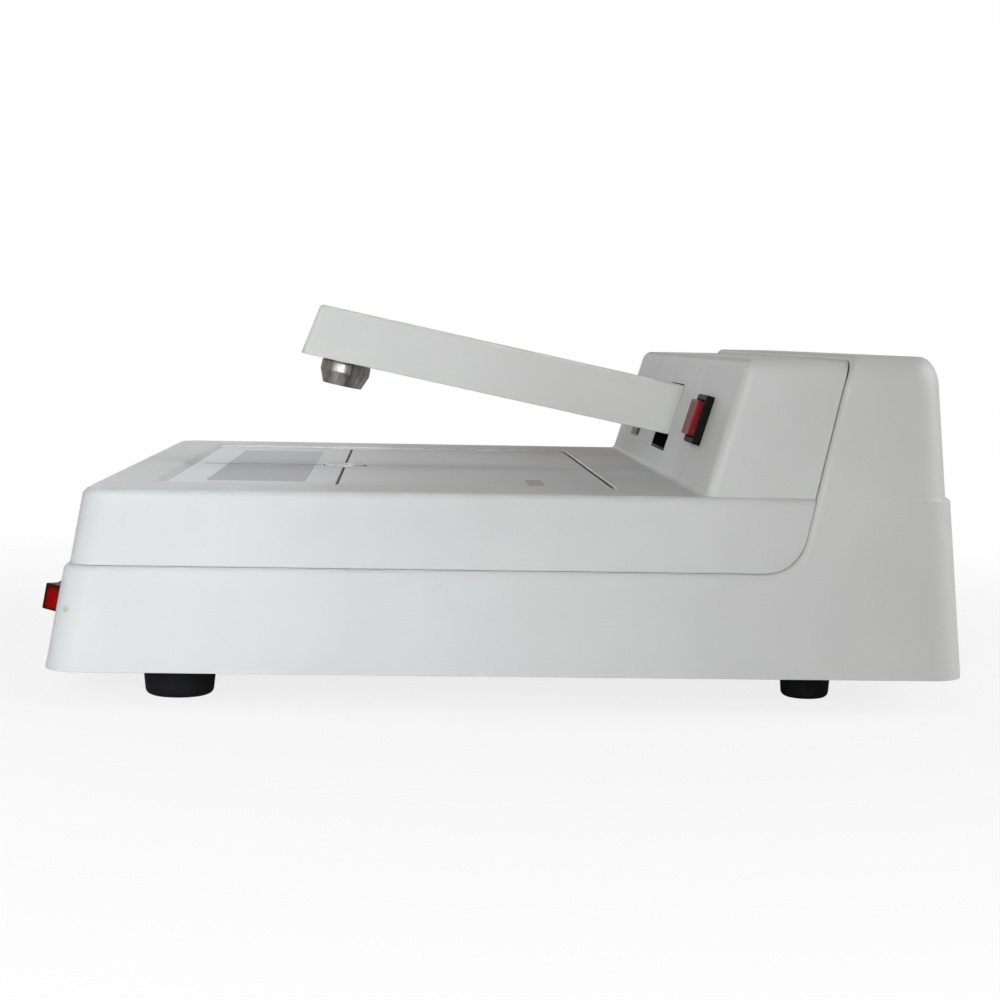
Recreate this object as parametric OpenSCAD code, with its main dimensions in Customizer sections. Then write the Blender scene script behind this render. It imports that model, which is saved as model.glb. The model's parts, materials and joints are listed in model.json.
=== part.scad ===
// Transmission densitometer for film.
// The origin is on the table, under the middle of the case. +X is the operator's right,
// +Y goes to the rear and +Z is up. Heights named *_h are measured from the case's underside.

/* [Case] */
// Width of the case at its underside
body_w = 260; // [250:1:270]
// Length of the case at its underside, without the rocker and the connector frame
body_l = 260; // [255:1:265]
// Height of the top edge of the lower case
ledge_h = 29.5; // [28:0.5:31]
// Height of the stage deck
deck_h = 51; // [50:0.5:52]
// Height of the front cover's hump
hump_h = 90; // [89:0.5:91]
// Height of the rear hood
hood_h = 91.5; // [91:0.5:92]
// Wall thickness of the mouldings
wall = 2.8; // [2.4:0.1:3]
// Height of the feet below the case
foot_h = 9; // [8:0.5:11]

/* [Slopes] */
// How far the front face leans back for each millimetre of height
front_draft = 0.173; // [0.15:0.001:0.19]
// How far the rear face leans forward for each millimetre of height
rear_draft = 0.08; // [0.07:0.001:0.09]
// How far each side leans in for each millimetre of height
side_draft = 0.057; // [0.05:0.001:0.06]
// Lean of the sloped panel from the vertical, in degrees
panel_lean = 16.75; // [16:0.25:17.5]

/* [Stage] */
// Width of the stage plate
stage_w = 196; // [190:1:198]
// Length of the stage plate
stage_l = 133; // [130:1:134]
// Thickness of the stage plate
stage_t = 3; // [2.5:0.1:3]
// Distance of the measuring spot in front of the case's middle
spot_y = -50; // [-51:0.5:-49]
// Diameter of the aperture ring
ring_d = 14; // [12:0.5:16]

/* [Arm] */
// Width of the arm
arm_w = 30; // [29:0.5:30]
// Depth of the arm
arm_d = 17.2; // [17:0.1:17.5]
// Angle at which the arm rests, raised from the stage
arm_raise = 11.5; // [11:0.1:11.6]
// Pivot of the arm behind the case's middle
pivot_y = 80; // [79.5:0.5:80.5]
// Pivot of the arm above the table
pivot_z = 80; // [79.5:0.5:80.5]
// Diameter of the probe where it is widest
probe_d = 16.8; // [16:0.1:17.5]
// Diameter of the probe's tip
probe_tip_d = 13.4; // [12:0.1:14]

/* [Connectors] */
// Middle of the connector frame to the left of the case's middle
frame_x = -72.7; // [-75:0.1:-72]
// Middle of the serial socket
serial_x = -50.5; // [-51:0.5:-50]
// Middle of the mains inlet
inlet_x = -82; // [-82.5:0.5:-81.5]
// Height of the middle of both connectors
connector_h = 20.5; // [20:0.5:21]
// Distance between the serial socket's jackscrews
jack_pitch = 24.99; // [24.9:0.01:25.1]
// Distance between the mains inlet's screws
inlet_pitch = 36; // [35.5:0.1:36.5]

/* [Hidden] */
$fn = 64;

// Colours of the mouldings and the metals
shell_white = "#d9dcdb";
deck_grey = "#cfd0ce";
arm_white = "#d6d7d4";
plastic_black = "#1c1c1e";
cap_red = "#8e1120";
steel = "#a9abad";
brass = "#c9a85a";
board_green = "#1f5a36";

// Case form
corner_r = 10;         // plan radius of the case's corners
corner_steps = 8;      // flats on each corner's round
round_steps = 4;       // flats on each edge's round
seam = 0.5;            // gap of the seam between cover and base shell
cover_inset = 1.2;     // the cover stands in from the base shell by this much
hump_inset = 3;        // and the hump by this much
deck_round = 2.2;      // round of the deck's edge
hump_round = 5;        // round of the hump's edges
hood_round = 8;        // round of the hood's edges
hood_rear_share = 0.62; // share of that round which the hood's rear edge takes
rear_set = 0.8;        // the rear face stands this far behind half of body_l
step_inset = 1.4;      // the rear face steps in above the deck's height
step_rise = 0.6;       // height over which it does
deck_z = foot_h + deck_h;
panel_foot_y = body_l / 2 - 75;
panel_slope = tan(panel_lean);
seam_slope = tan(13);  // lean of the seam behind the hump
seam_arc_r = 12;       // round of the seam where it turns up
seam_y = panel_foot_y + 31.8; // the seam at the deck's height

// Bottom plate, bosses and feet
plate_t = 1.5;
plate_z = foot_h + 0.6;
plate_top = plate_z + plate_t;
plate_gap = 0.4;
screw_r = 1.5;
screw_head_r = 2.9;
screw_head_h = 1.8;
boss_r = 4.5;
shell_boss_h = 14;     // height of the base shell's bosses
screw_l = 10;          // length of the case screws above the plate
cover_bore_l = 21;     // length of the bores in the cover's bosses
boss_at = [[-114, -109], [114, -109], [-112, 42], [112, 42]];
shell_boss_at = [[-119, -30], [119, -30], [-40, -118], [40, -118], [-119, 104], [119, 104]];
front_foot_at = [[-110, -93.5], [110, -93.5]];
rear_foot_at = [[-105, 89], [105, 89]];
foot_bore = [4, 3];    // radius and depth of the recess for a foot screw's head
foot_screw_r = 2;

// Stage
stage_drop = 0.85;     // the plate lies this much below the deck
stage_gap = 0.5;       // gap round the plate
stage_ledge = 5;       // width of the ledge that carries it
ledge_t = 2;
stage_front = -body_l / 2 + 29.6;
stage_top = deck_z - stage_drop;
ring_proud = 0.4;
diffuser_r = 2.5;
film_gap = 0.45;       // space for the film between ring and probe
line_w = 0.6;          // width of the engraved lines
line_deep = 0.3;
line_w_wide = 1;       // width of the line across
field_w = 156;         // grey field on the stage
field_front = -89.5;
field_rear = -60;
field_t = 0.3;
field_slack = 0.05;    // the fields' paint lies this much below the plate's face

// Arm, drawn pressed down, and raised by raise_arm()
probe_h = 8.2;
arm_bottom_z = stage_top + ring_proud + film_gap + probe_h;
arm_top_z = arm_bottom_z + arm_d;
arm_front = spot_y - 15.2;
arm_front_lean = 3;    // the front end's top lies this far behind its bottom
arm_back = 66;
arm_wall = 2;
arm_round = 1.5;       // round of the front end's upper edge
arm_edge = 1.2;        // round of the long upper edges
arm_cover_t = 2;
arm_screw_at = [-20, 50];
arm_screw_r = 1.45;
arm_screw_head = [2.6, 1.2]; // radius and height, sunk into the bottom cover
lever_w = 22;
lever_t = 2;
lever_front = spot_y - 10;
lever_back = 104;
lever_web_z = arm_bottom_z + arm_cover_t;
shaft_r = 3;
bush_bore_r = 3.05;
bush_r = 5;
bush_flange_r = 6.5;
probe_neck_r = 5;      // the probe's upper part, held in the bottom cover and the lever
probe_chamfer_h = 4.3;
slot_w = 34;
slot_low = 7;          // the slot's ends, measured up the panel
slot_high = 31;
liner_t = 1;

// Pivot bracket
bracket_in = 15.5;
bracket_t = 2.5;
bracket_front = 72;
bracket_back = 104;
bracket_top = 91;
bridge = [10, 1.5];    // length and thickness of the bar across the bracket's top
bridge_y = 91;
pin_r = 1.5;
spring_y = 98;
spring_pin_z = 34;     // pin that the return spring hooks on
stop_y = 89;
stop_r = 3;
stop_z = 64.6;

// Panel controls, placed across (x) and up the panel (s)
button_x = 77;
button_s = 20.5;
button_w = 19;
button_l = 15.3;
button_proud = 2.4;
cap_w = 14.4;
cap_l = 11;
cap_proud = 1.8;
window_x = -70.5;
window_s = 18.3;
window_w = 24;
window_l = 20.4;
window_rim = 2;        // the window's edge behind the panel
module_size = [26, 16, 7];
digit_pitch = 8;

// Front rocker, placed across (x) and up the front face
rocker_x = 98;
rocker_h = 16.4;
rocker_bezel = [15, 10, 1.6];
rocker_cut = [13.2, 8.4];
cut_slack = 0.2;
rocker_size = [12.6, 7.6];
rocker_end = 5.8;      // the rocker's ends and middle above the face, level
rocker_middle = 4.7;
rocker_pivot = -1;
rocker_tilt = 15;

// Circuit boards
board_t = 1.6;
board_hole_r = 1.6;

// Connector frame
frame_w = 77.4;
frame_top_h = 43.8;
frame_low_h = -1;
frame_y = body_l / 2 + 1.8;
recess_w = 66;
recess_l = 35;
recess_h = 21;
recess_deep = 10.3;
frame_wall = 2.2;
frame_lap = 1.5;       // the frame covers the edge of the case's opening by this much
frame_round = 5;
recess_y = frame_y - recess_deep;
connector_z = foot_h + connector_h;

// Rating plate on the rear face
plate_x = 86.5;
plate_h = 30.5;
plate_size = [51, 24, 0.3];

// Serial socket, placed from the bottom of the recess
flange_size = [12.55, 30.8];
d_size = [7.9, 16.3];
d_reach = 6;
jack_r = 1.45;
jack_bore_r = 1.136;
jack_hex_r = 2.75;
jack_hex_h = 4.9;
contact_r = 0.6;
contact_pitch = 2.77;
contact_gap = 2.84;
// Nine contact places: five in one column and four in the other
contact_at = concat([for (i = [-2:2]) [-contact_gap / 2, contact_pitch * i]],
    [for (i = [-1.5:1.5]) [contact_gap / 2, contact_pitch * i]]);

// Mains inlet and its fuse drawer, heights from the inlet's middle
inlet_flange_size = [44.4, 33.8];
inlet_flange_t = 3;
inlet_proud = 4.5;
inlet_face_y = recess_y + inlet_proud;
inlet_front = [29, 32];
inlet_back_w = 28;
inlet_back_h = 29.6;
inlet_back_mid = -1.4;
socket_w = 24.4;
socket_low = -3.4;
socket_high = 13;
socket_cut = 5.5;
socket_deep = 15;
blade_at = [[-7, 3.7], [7, 3.7], [0, 8.2]];
blade_size = [2, 4, 26];
blade_back = 3;        // the blades end this far inside the socket
drawer_w = 24.6;
drawer_h = 9.8;
drawer_mid = -10.1;
drawer_high = drawer_mid + drawer_h / 2;
drawer_deep = 19;
drawer_gap = 0.3;
fuse_r = 2.6;
fuse_l = 20;
fuse_y = recess_y - 7.6;

// Half width and ends of the case at a height above its underside
function side_x(h) = body_w / 2 - side_draft * h;
function front_y(h) = -body_l / 2 + front_draft * h;
function rear_y(h) = body_l / 2 + rear_set - rear_draft * h - (h > deck_h ? step_inset : 0);
function panel_y(h) = panel_foot_y + (h - deck_h) * panel_slope;

// A round's inset at a height, for a form that ends at top with a round of radius r
function round_in(h, top, r) = h <= top - r ? 0 : r - sqrt(max(0, r * r - pow(h - top + r, 2)));
function round_levels(top, r) = [for (i = [0:round_steps]) top - r + r * sin(90 * i / round_steps)];

// Rounded rectangle in plan, at height z: corner arcs joined in order
function corner(cx, cy, r, from) =
    [for (i = [0:corner_steps]) let (a = from + 90 * i / corner_steps)
        [cx + r * cos(a), cy + r * sin(a)]];
function ring(x, y0, y1, r, z) = [for (p = concat(
    corner(x - r, y1 - r, r, 0), corner(-x + r, y1 - r, r, 90),
    corner(-x + r, y0 + r, r, 180), corner(x - r, y0 + r, r, 270))) [p[0], p[1], z]];

// Solid through a stack of rings with equal numbers of points
module loft(rings) {
    n = len(rings[0]);
    last = len(rings) - 1;
    points = [for (r = rings) each r];
    sides = [for (k = [0:last - 1], i = [0:n - 1]) let (j = (i + 1) % n)
        each [[k * n + i, k * n + j, (k + 1) * n + i], [k * n + j, (k + 1) * n + j, (k + 1) * n + i]]];
    floor_face = [[for (i = [n - 1:-1:0]) i]];
    roof_face = [[for (i = [0:n - 1]) last * n + i]];
    polyhedron(points, [for (f = concat(sides, floor_face, roof_face))
        [for (i = [len(f) - 1:-1:0]) f[i]]]);
}

// The whole case as if it had no cover, inset all round by t
module case_form(t) {
    top = hood_h - t;
    r = hood_round - t;
    levels = concat([t > 0 ? -1 : 0, deck_h, deck_h + step_rise], round_levels(top, r));
    loft([for (h = levels) let (round = round_in(h, top, r), in = t + round)
        ring(side_x(h) - in, front_y(h) + in, rear_y(h) - t - hood_rear_share * round,
            corner_r - in, foot_h + h)]);
}

// The cover's deck and the cover's hump as full blocks, inset all round by t
module deck_form(t) {
    in0 = cover_inset + t;
    top = deck_h - t;
    r = deck_round;
    low = ledge_h + seam - (t > 0 ? 2 : 0);
    loft([for (h = concat([low], round_levels(top, r))) let (in = in0 + round_in(h, top, r))
        ring(side_x(h) - in, front_y(h) + in, body_l / 2 - 10, corner_r - min(in, 6), foot_h + h)]);
}
module hump_form(t) {
    in0 = hump_inset + t;
    top = hump_h - t;
    r = hump_round - t / 2;
    low = deck_h - 6 - (t > 0 ? 2 : 0);
    loft([for (h = concat([low], round_levels(top, r))) let (in = round_in(h, top, r))
        ring(side_x(h) - in0 - in, panel_y(h) + t / cos(panel_lean) + in, body_l / 2 - 10,
            max(hump_round - t / 2 - in / 2, 0.6), foot_h + h)]);
}

// Side outline of what lies in front of and above the seam, moved forward by gap
module seam_outline(gap) {
    level = ledge_h + gap;
    turn_y = seam_y - (deck_h - level) * seam_slope;
    reach = seam_arc_r * tan((90 - 13) / 2);
    arc_y = turn_y - reach - gap;
    steps = 8;
    polygon(concat(
        [[-body_l, foot_h + level]],
        [for (i = [0:steps]) let (a = -90 + (90 - 13) * i / steps)
            [arc_y + seam_arc_r * cos(a), foot_h + level + seam_arc_r + seam_arc_r * sin(a)]],
        [[seam_y + (hood_h + 5 - deck_h) * seam_slope - gap, foot_h + hood_h + 5],
         [-body_l, foot_h + hood_h + 5]]));
}
module ahead_of_seam(gap) {
    rotate([90, 0, 90]) translate([0, 0, -body_w]) linear_extrude(2 * body_w) seam_outline(gap);
}

// Places a child on the sloped panel: x across, y up the panel, z out of it
module on_panel() {
    translate([0, panel_foot_y, deck_z]) rotate([90 - panel_lean, 0, 0]) children();
}

// Places a child on the front face at the rocker: x across, y up the face, z out of it
module on_front() {
    translate([rocker_x, front_y(rocker_h), foot_h + rocker_h])
        rotate([90 - atan(front_draft), 0, 0]) children();
}

// Raises what is drawn with the arm pressed down
module raise_arm() {
    translate([0, pivot_y, pivot_z]) rotate([-arm_raise, 0, 0])
        translate([0, -pivot_y, -pivot_z]) children();
}

// Box centred in x and y, standing on z = 0
module block(w, l, h) {
    translate([-w / 2, -l / 2, 0]) cube([w, l, h]);
}
module rounded_block(w, l, h, r) {
    linear_extrude(h) rounded_outline(w, l, r);
}
module rounded_outline(w, l, r) {
    square([w - 2 * r, l], center = true);
    square([w, l - 2 * r], center = true);
    for (x = [-1, 1], y = [-1, 1]) translate([x * (w / 2 - r), y * (l / 2 - r)]) circle(r, $fn = 32);
}
module at_each(places) {
    for (p = places) translate([p[0], p[1], 0]) children();
}

// Coil spring standing on z = 0, an unbroken tube swept along a helix
module coil_spring(r, wire, turns, height) {
    per_turn = 8;
    sides = 6;
    rings = turns * per_turn;
    points = [for (k = [0:rings], i = [0:sides - 1])
        let (a = 360 * k / per_turn, b = 360 * i / sides, q = r + wire / 2 * cos(b))
        [q * cos(a), q * sin(a), wire / 2 + (height - wire) * k / rings + wire / 2 * sin(b)]];
    walls = [for (k = [0:rings - 1], i = [0:sides - 1]) let (j = (i + 1) % sides, m = k * sides)
        each [[m + i, m + sides + i, m + j], [m + j, m + sides + i, m + sides + j]]];
    polyhedron(points, concat([[for (i = [0:sides - 1]) i]], walls,
        [[for (i = [sides - 1:-1:0]) rings * sides + i]]));
}

// ---- Case ----
module base_shell() {
    color(shell_white) difference() {
        union() {
            difference() {
                case_form(0);
                case_form(wall);
                ahead_of_seam(0);
            }
            at_each(shell_boss_at) translate([0, 0, plate_top]) cylinder(r = boss_r, h = shell_boss_h);
            for (p = shell_boss_at) boss_rib(p);
        }
        at_each(shell_boss_at) translate([0, 0, plate_top - 1]) cylinder(r = screw_r, h = screw_l + 1);
        on_front() translate([0, 0, -8])
            block(rocker_cut[0] + 2 * cut_slack, rocker_cut[1] + 2 * cut_slack, 20);
        translate([frame_x, body_l / 2, foot_h - 1])
            block(frame_w - 2 * frame_lap, 30, frame_top_h - frame_lap + 1);
    }
}
// Rib from a boss to the nearest wall
module boss_rib(p) {
    rib = [2, 12];     // thickness and height
    wall_x = side_x(10) - wall + 0.6;
    wall_y = -front_y(10) - wall + 0.2;
    side = sign(p[0]);
    if (abs(p[0]) > 100) translate([side > 0 ? p[0] : -wall_x, p[1] - rib[0] / 2, plate_top])
        cube([wall_x - abs(p[0]), rib[0], rib[1]]);
    else translate([p[0] - rib[0] / 2, -wall_y, plate_top]) cube([rib[0], wall_y + p[1], rib[1]]);
}

module front_cover() {
    color(deck_grey) difference() {
        union() {
            intersection() {
                difference() {
                    union() {
                        deck_form(0);
                        hump_form(0);
                    }
                    deck_form(wall);
                    hump_form(wall);
                }
                ahead_of_seam(seam);
            }
            stage_frame();
            cover_tongue();
            at_each(boss_at)
                translate([0, 0, plate_top]) cylinder(r = boss_r, h = deck_z - 1 - plate_top);
        }
        translate([0, stage_front + stage_l / 2, deck_z - stage_drop - stage_t])
            block(stage_w + 2 * stage_gap, stage_l + 2 * stage_gap, 10);
        translate([0, stage_front + stage_l / 2, deck_z - 20])
            block(stage_w - 2 * stage_ledge, stage_l - 2 * stage_ledge, 30);
        at_each(boss_at) translate([0, 0, plate_top - 1]) cylinder(r = screw_r, h = cover_bore_l);
        on_panel() {
            translate([0, (slot_low + slot_high) / 2, -12]) block(slot_w, slot_high - slot_low, 30);
            translate([button_x, button_s, -12]) block(button_w - 2, button_l - 2, 30);
            translate([window_x, window_s, -12]) block(window_w, window_l, 30);
        }
    }
}
// Thick rim under the deck that carries the stage plate
module stage_frame() {
    low = stage_top - stage_t - ledge_t;
    translate([0, stage_front + stage_l / 2, low])
        block(stage_w + 6, stage_l + 6, deck_z - 1 - low);
}
// Tongue that reaches down inside the base shell's rim
module cover_tongue() {
    out = wall + 0.3;
    low = ledge_h - 5;
    high = ledge_h + 3;
    intersection() {
        difference() {
            tongue_form(out, low, high);
            tongue_form(out + 1.8, low - 1, high + 1);
        }
        translate([-body_w, -body_l, 0]) cube([2 * body_w, body_l + 66, 200]);
    }
}
module tongue_form(in, low, high) {
    loft([for (h = [low, high])
        ring(side_x(h) - in, front_y(h) + in, body_l / 2 - 20, corner_r - in, foot_h + h)]);
}

module bottom_plate() {
    w = body_w - 2 * (wall + plate_gap + side_draft);
    color(steel) translate([0, 0, plate_z]) difference() {
        rounded_block(w, body_l - 2 * (wall + plate_gap + 0.3), plate_t, corner_r - wall);
        at_each(concat(boss_at, shell_boss_at))
            translate([0, 0, -1]) cylinder(r = screw_r + 0.2, h = 5);
        at_each(concat(front_foot_at, rear_foot_at))
            translate([0, 0, -1]) cylinder(r = foot_screw_r + 0.1, h = 5);
        translate([frame_x, body_l / 2, -1]) block(frame_w + 1, 24, 5);
    }
}

module case_screws() {
    color(steel) at_each(concat(boss_at, shell_boss_at)) {
        translate([0, 0, plate_z - screw_head_h]) difference() {
            cylinder(r = screw_head_r, h = screw_head_h);
            screw_cross();
        }
        translate([0, 0, plate_z]) cylinder(r = screw_r, h = screw_l);
    }
}
// Cross recess in a screw's head
module screw_cross() {
    arm_l = 3;
    arm_w = 0.7;
    for (a = [0, 90]) rotate([0, 0, a]) translate([0, 0, -0.1]) block(arm_l, arm_w, 0.9);
}

module foot(r_top, r_low) {
    edge = 1.6;
    difference() {
        rotate_extrude() polygon(concat([[0, 0]],
            [for (a = [-90:15:0]) [r_low - edge + edge * cos(a), edge + edge * sin(a)]],
            [[r_top, plate_z], [0, plate_z]]));
        translate([0, 0, -1]) cylinder(r = foot_bore[0], h = foot_bore[1] + 1);
        translate([0, 0, 1]) cylinder(r = foot_screw_r + 0.05, h = 20);
    }
}
module front_feet() {
    color(plastic_black) at_each(front_foot_at) foot(10.6, 9.8);
}
module rear_feet() {
    color(plastic_black) at_each(rear_foot_at) foot(7.6, 7);
}
module foot_screws() {
    color(steel) at_each(concat(front_foot_at, rear_foot_at)) {
        head = [3.5, 1.8];
        nut = [3.6, 2.4];
        translate([0, 0, foot_bore[1] - head[1]]) cylinder(r = head[0], h = head[1]);
        translate([0, 0, foot_bore[1]])
            cylinder(r = foot_screw_r, h = plate_top + nut[1] + 1 - foot_bore[1]);
        translate([0, 0, plate_top]) cylinder(r = nut[0], h = nut[1], $fn = 6);
    }
}

// ---- Stage ----
module stage_plate() {
    color("#dcdedd") translate([0, 0, stage_top - stage_t]) difference() {
        translate([0, stage_front + stage_l / 2, 0]) rounded_block(stage_w, stage_l, stage_t, 1.5);
        translate([0, spot_y, -1]) cylinder(r = ring_d / 2 + 0.05, h = stage_t + 2);
        translate([0, spot_y, stage_t - line_deep]) block(stage_w - 8, line_w_wide, 1);
        translate([0, stage_front + stage_l / 2, stage_t - line_deep]) block(line_w, stage_l - 6, 1);
        field_blocks(stage_t - field_t, 1, 0);
    }
}
// Two grey fields, left and right of the middle line
module field_blocks(z, h, less) {
    half = field_w / 2 - 1.2;
    for (side = [-1, 1]) translate([side * (half / 2 + 1.2), (field_front + field_rear) / 2, z])
        block(half - less, field_rear - field_front - less, h);
}
module stage_field() {
    color("#8f9496") field_blocks(stage_top - field_t, field_t - field_slack, 2 * field_slack);
}
module aperture_ring() {
    color("#e4e5e3") translate([0, spot_y, stage_top - stage_t]) difference() {
        cylinder(r = ring_d / 2, h = stage_t + ring_proud);
        translate([0, 0, -1]) cylinder(r = diffuser_r, h = stage_t + 3);
    }
}
module aperture_diffuser() {
    color("#f4f4f2") translate([0, spot_y, stage_top - stage_t])
        cylinder(r = diffuser_r - 0.02, h = stage_t);
}

// ---- Lamp under the measuring spot ----
housing_floor = 2.5;   // thickness of the lamp housing's floor
housing_top = stage_top - stage_t - 2.5;
lens_seat = 4;         // the lens rests this far below the housing's top
lens_r = 10.9;
cap_r = 4.4;           // radius of the lamp's cap
module lamp_housing() {
    flange_r = 17;
    tube_r = 13;
    fin = [16, 1.4];   // radius and thickness
    color("#8d9093") translate([0, spot_y, plate_top]) difference() {
        union() {
            cylinder(r = flange_r, h = housing_floor);
            cylinder(r = tube_r, h = housing_top - plate_top);
            for (i = [0:4]) translate([0, 0, 8 + 5 * i]) cylinder(r = fin[0], h = fin[1]);
        }
        translate([0, 0, housing_floor]) cylinder(r = tube_r - 3, h = 60);
        translate([0, 0, housing_top - plate_top - lens_seat]) cylinder(r = lens_r + 0.1, h = 10);
    }
}
module condenser_lens() {
    edge_t = 2;
    rise = 2;
    color("#cfe3ea", 0.5) translate([0, spot_y, housing_top - lens_seat]) rotate_extrude()
        polygon(concat([[0, 0], [lens_r, 0], [lens_r, edge_t]],
            [for (x = [9:-3:0]) [x, edge_t + rise * (1 - pow(x / lens_r, 2))]]));
}
module lamp_socket() {
    color("#e8e4da") translate([0, spot_y, plate_top + housing_floor]) difference() {
        cylinder(r = 8, h = 12);
        translate([0, 0, 4]) cylinder(r = cap_r + 0.1, h = 20);
    }
}
module lamp() {
    cap_l = 12;
    bulb_r = 5.5;
    neck_l = 3;
    color("#f3f0df", 0.7) translate([0, spot_y, plate_top + housing_floor + 4]) {
        cylinder(r = cap_r, h = cap_l);
        translate([0, 0, cap_l]) cylinder(r1 = cap_r, r2 = bulb_r, h = neck_l);
        translate([0, 0, cap_l + neck_l]) sphere(r = bulb_r);
    }
}

// ---- Panel controls ----
// Lines the slot's two sides and its lower end, and is open at the top
module slot_liner() {
    flange_t = 1.4;
    flange_w = 2.5;
    length = slot_high - slot_low;
    open_l = 10;
    color(plastic_black) on_panel()
        translate([0, (slot_low + slot_high) / 2, -wall - flange_t - 0.1]) difference() {
            union() {
                block(slot_w - 0.1, length - 0.1, wall + flange_t);
                block(slot_w + 2 * flange_w, length + 2 * flange_w, flange_t);
            }
            translate([0, liner_t + open_l / 2, -1]) block(slot_w - 2 * liner_t, length + open_l, 20);
        }
}
module display_window() {
    pane_t = 2;
    pane_rise = 0.9;
    color("#2a0d10", 0.8) on_panel() translate([window_x, window_s, -wall - pane_t - 0.1]) {
        block(window_w + 2 * window_rim, window_l + 2 * window_rim, pane_t);
        translate([0, 0, pane_t]) block(window_w - 0.3, window_l - 0.3, pane_rise);
    }
}
// Back of the display module, measured out of the panel
display_n = -wall - 2.3 - module_size[2];
module display_module() {
    segment_deep = 0.3;
    color("#232323") on_panel() translate([window_x, window_s, display_n]) difference() {
        block(module_size[0], module_size[1], module_size[2]);
        for (i = [-1:1]) translate([digit_pitch * i, 0, module_size[2] - segment_deep]) digit();
    }
}
// Seven shallow segments of one figure, and its point
module digit() {
    half_w = 2.4;
    half_l = 5.2;
    bar = 1;
    for (y = [-half_l, 0, half_l]) translate([0, y, 0]) block(2 * half_w - bar - 0.4, bar, 1);
    for (x = [-half_w, half_w], y = [-half_l / 2, half_l / 2]) translate([x, y, 0]) block(bar, 4, 1);
    translate([half_w + 1, -half_l - 0.4, 0]) cylinder(r = 0.45, h = 1, $fn = 16);
}
module display_board() {
    w = 42;
    l = 30;
    hole_in = 3;
    color(board_green) on_panel() translate([window_x, window_s, display_n - board_t - 0.1])
        difference() {
            block(w, l, board_t);
            for (x = [-1, 1], y = [-1, 1])
                translate([x * (w / 2 - hole_in), y * (l / 2 - hole_in), -1])
                    cylinder(r = board_hole_r, h = 5);
        }
}
module zero_button_body() {
    color(plastic_black) on_panel() translate([button_x, button_s, 0]) difference() {
        union() {
            rounded_block(button_w, button_l, button_proud, 0.6);
            translate([0, 0, -18]) block(button_w - 2.4, button_l - 2.4, 18);
            for (x = [-4, 4]) translate([x, 0, -24]) block(0.8, 3, 8);
        }
        translate([0, 0, -8]) block(cap_w + 0.6, cap_l + 0.6, 20);
    }
}
module zero_button_cap() {
    color(cap_red) on_panel() translate([button_x, button_s, -2]) difference() {
        union() {
            rounded_block(cap_w, cap_l, button_proud + cap_proud + 1.6, 0.5);
            translate([0, 0, button_proud + cap_proud + 1.6])
                rounded_block(cap_w - 0.8, cap_l - 0.8, 0.4, 0.4);
        }
        translate([0, 0, -1]) block(cap_w - 3, cap_l - 3, 4);
    }
}
module zero_button_spring() {
    color(steel) on_panel() translate([button_x, button_s, -7.9]) coil_spring(2.6, 0.6, 6, 8.6);
}

// ---- Front rocker ----
module power_switch_body() {
    color(plastic_black) on_front() difference() {
        union() {
            rounded_block(rocker_bezel[0], rocker_bezel[1], rocker_bezel[2], 0.6);
            translate([0, 0, -14]) block(rocker_cut[0], rocker_cut[1], 14);
            for (x = [-4, 4]) translate([x, 0, -20]) block(0.8, 4.8, 8);
        }
        translate([0, 0, -8]) block(rocker_size[0] + 0.3, rocker_size[1] + 0.4, 20);
    }
}
// Rocker drawn level: two flat faces that meet in a shallow valley over a round keel
module rocker_outline() {
    half = rocker_size[0] / 2;
    polygon([[-half + 1.3, rocker_end], [0, rocker_middle], [half - 1.3, rocker_end],
        [half - 0.5, rocker_pivot + 1.5], [3, rocker_pivot - 2.5], [-3, rocker_pivot - 2.5],
        [-half + 0.5, rocker_pivot + 1.5]]);
}
module power_rocker() {
    color(cap_red) on_front() translate([0, 0, rocker_pivot]) rotate([0, -rocker_tilt, 0])
        translate([0, rocker_size[1] / 2, -rocker_pivot]) rotate([90, 0, 0])
        linear_extrude(rocker_size[1]) rocker_outline();
}

// ---- Connectors ----
// Cuts and adds along +Y from a plane at y, outlines drawn in x and z
module from_rear(y, t) {
    translate([0, y, 0]) rotate([90, 0, 0]) linear_extrude(t) children();
}
module frame_outline(w, low, high, r) {
    translate([frame_x, foot_h + (low + high) / 2]) rounded_outline(w, high - low, r);
}
module connector_frame() {
    low = recess_h - recess_l / 2;
    high = recess_h + recess_l / 2;
    color(shell_white) difference() {
        union() {
            difference() {
                from_rear(frame_y, 8) frame_outline(frame_w, frame_low_h, frame_top_h, frame_round);
                case_form(-0.1);
            }
            from_rear(frame_y, recess_deep + frame_wall)
                frame_outline(recess_w + 2 * frame_wall, low - frame_wall, high + frame_wall, 3);
        }
        from_rear(frame_y + 1, recess_deep + 1) frame_outline(recess_w, low, high, 2);
        from_rear(frame_y, 40) {
            translate([inlet_x, connector_z + inlet_back_mid])
                square([inlet_back_w + 0.6, inlet_back_h + 0.6], center = true);
            translate([serial_x, connector_z]) square([9.4, 19.4], center = true);
            for (s = [-1, 1]) {
                translate([inlet_x + s * inlet_pitch / 2, connector_z]) circle(screw_r);
                translate([serial_x, connector_z + s * jack_pitch / 2]) circle(1.55);
            }
        }
    }
}

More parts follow.
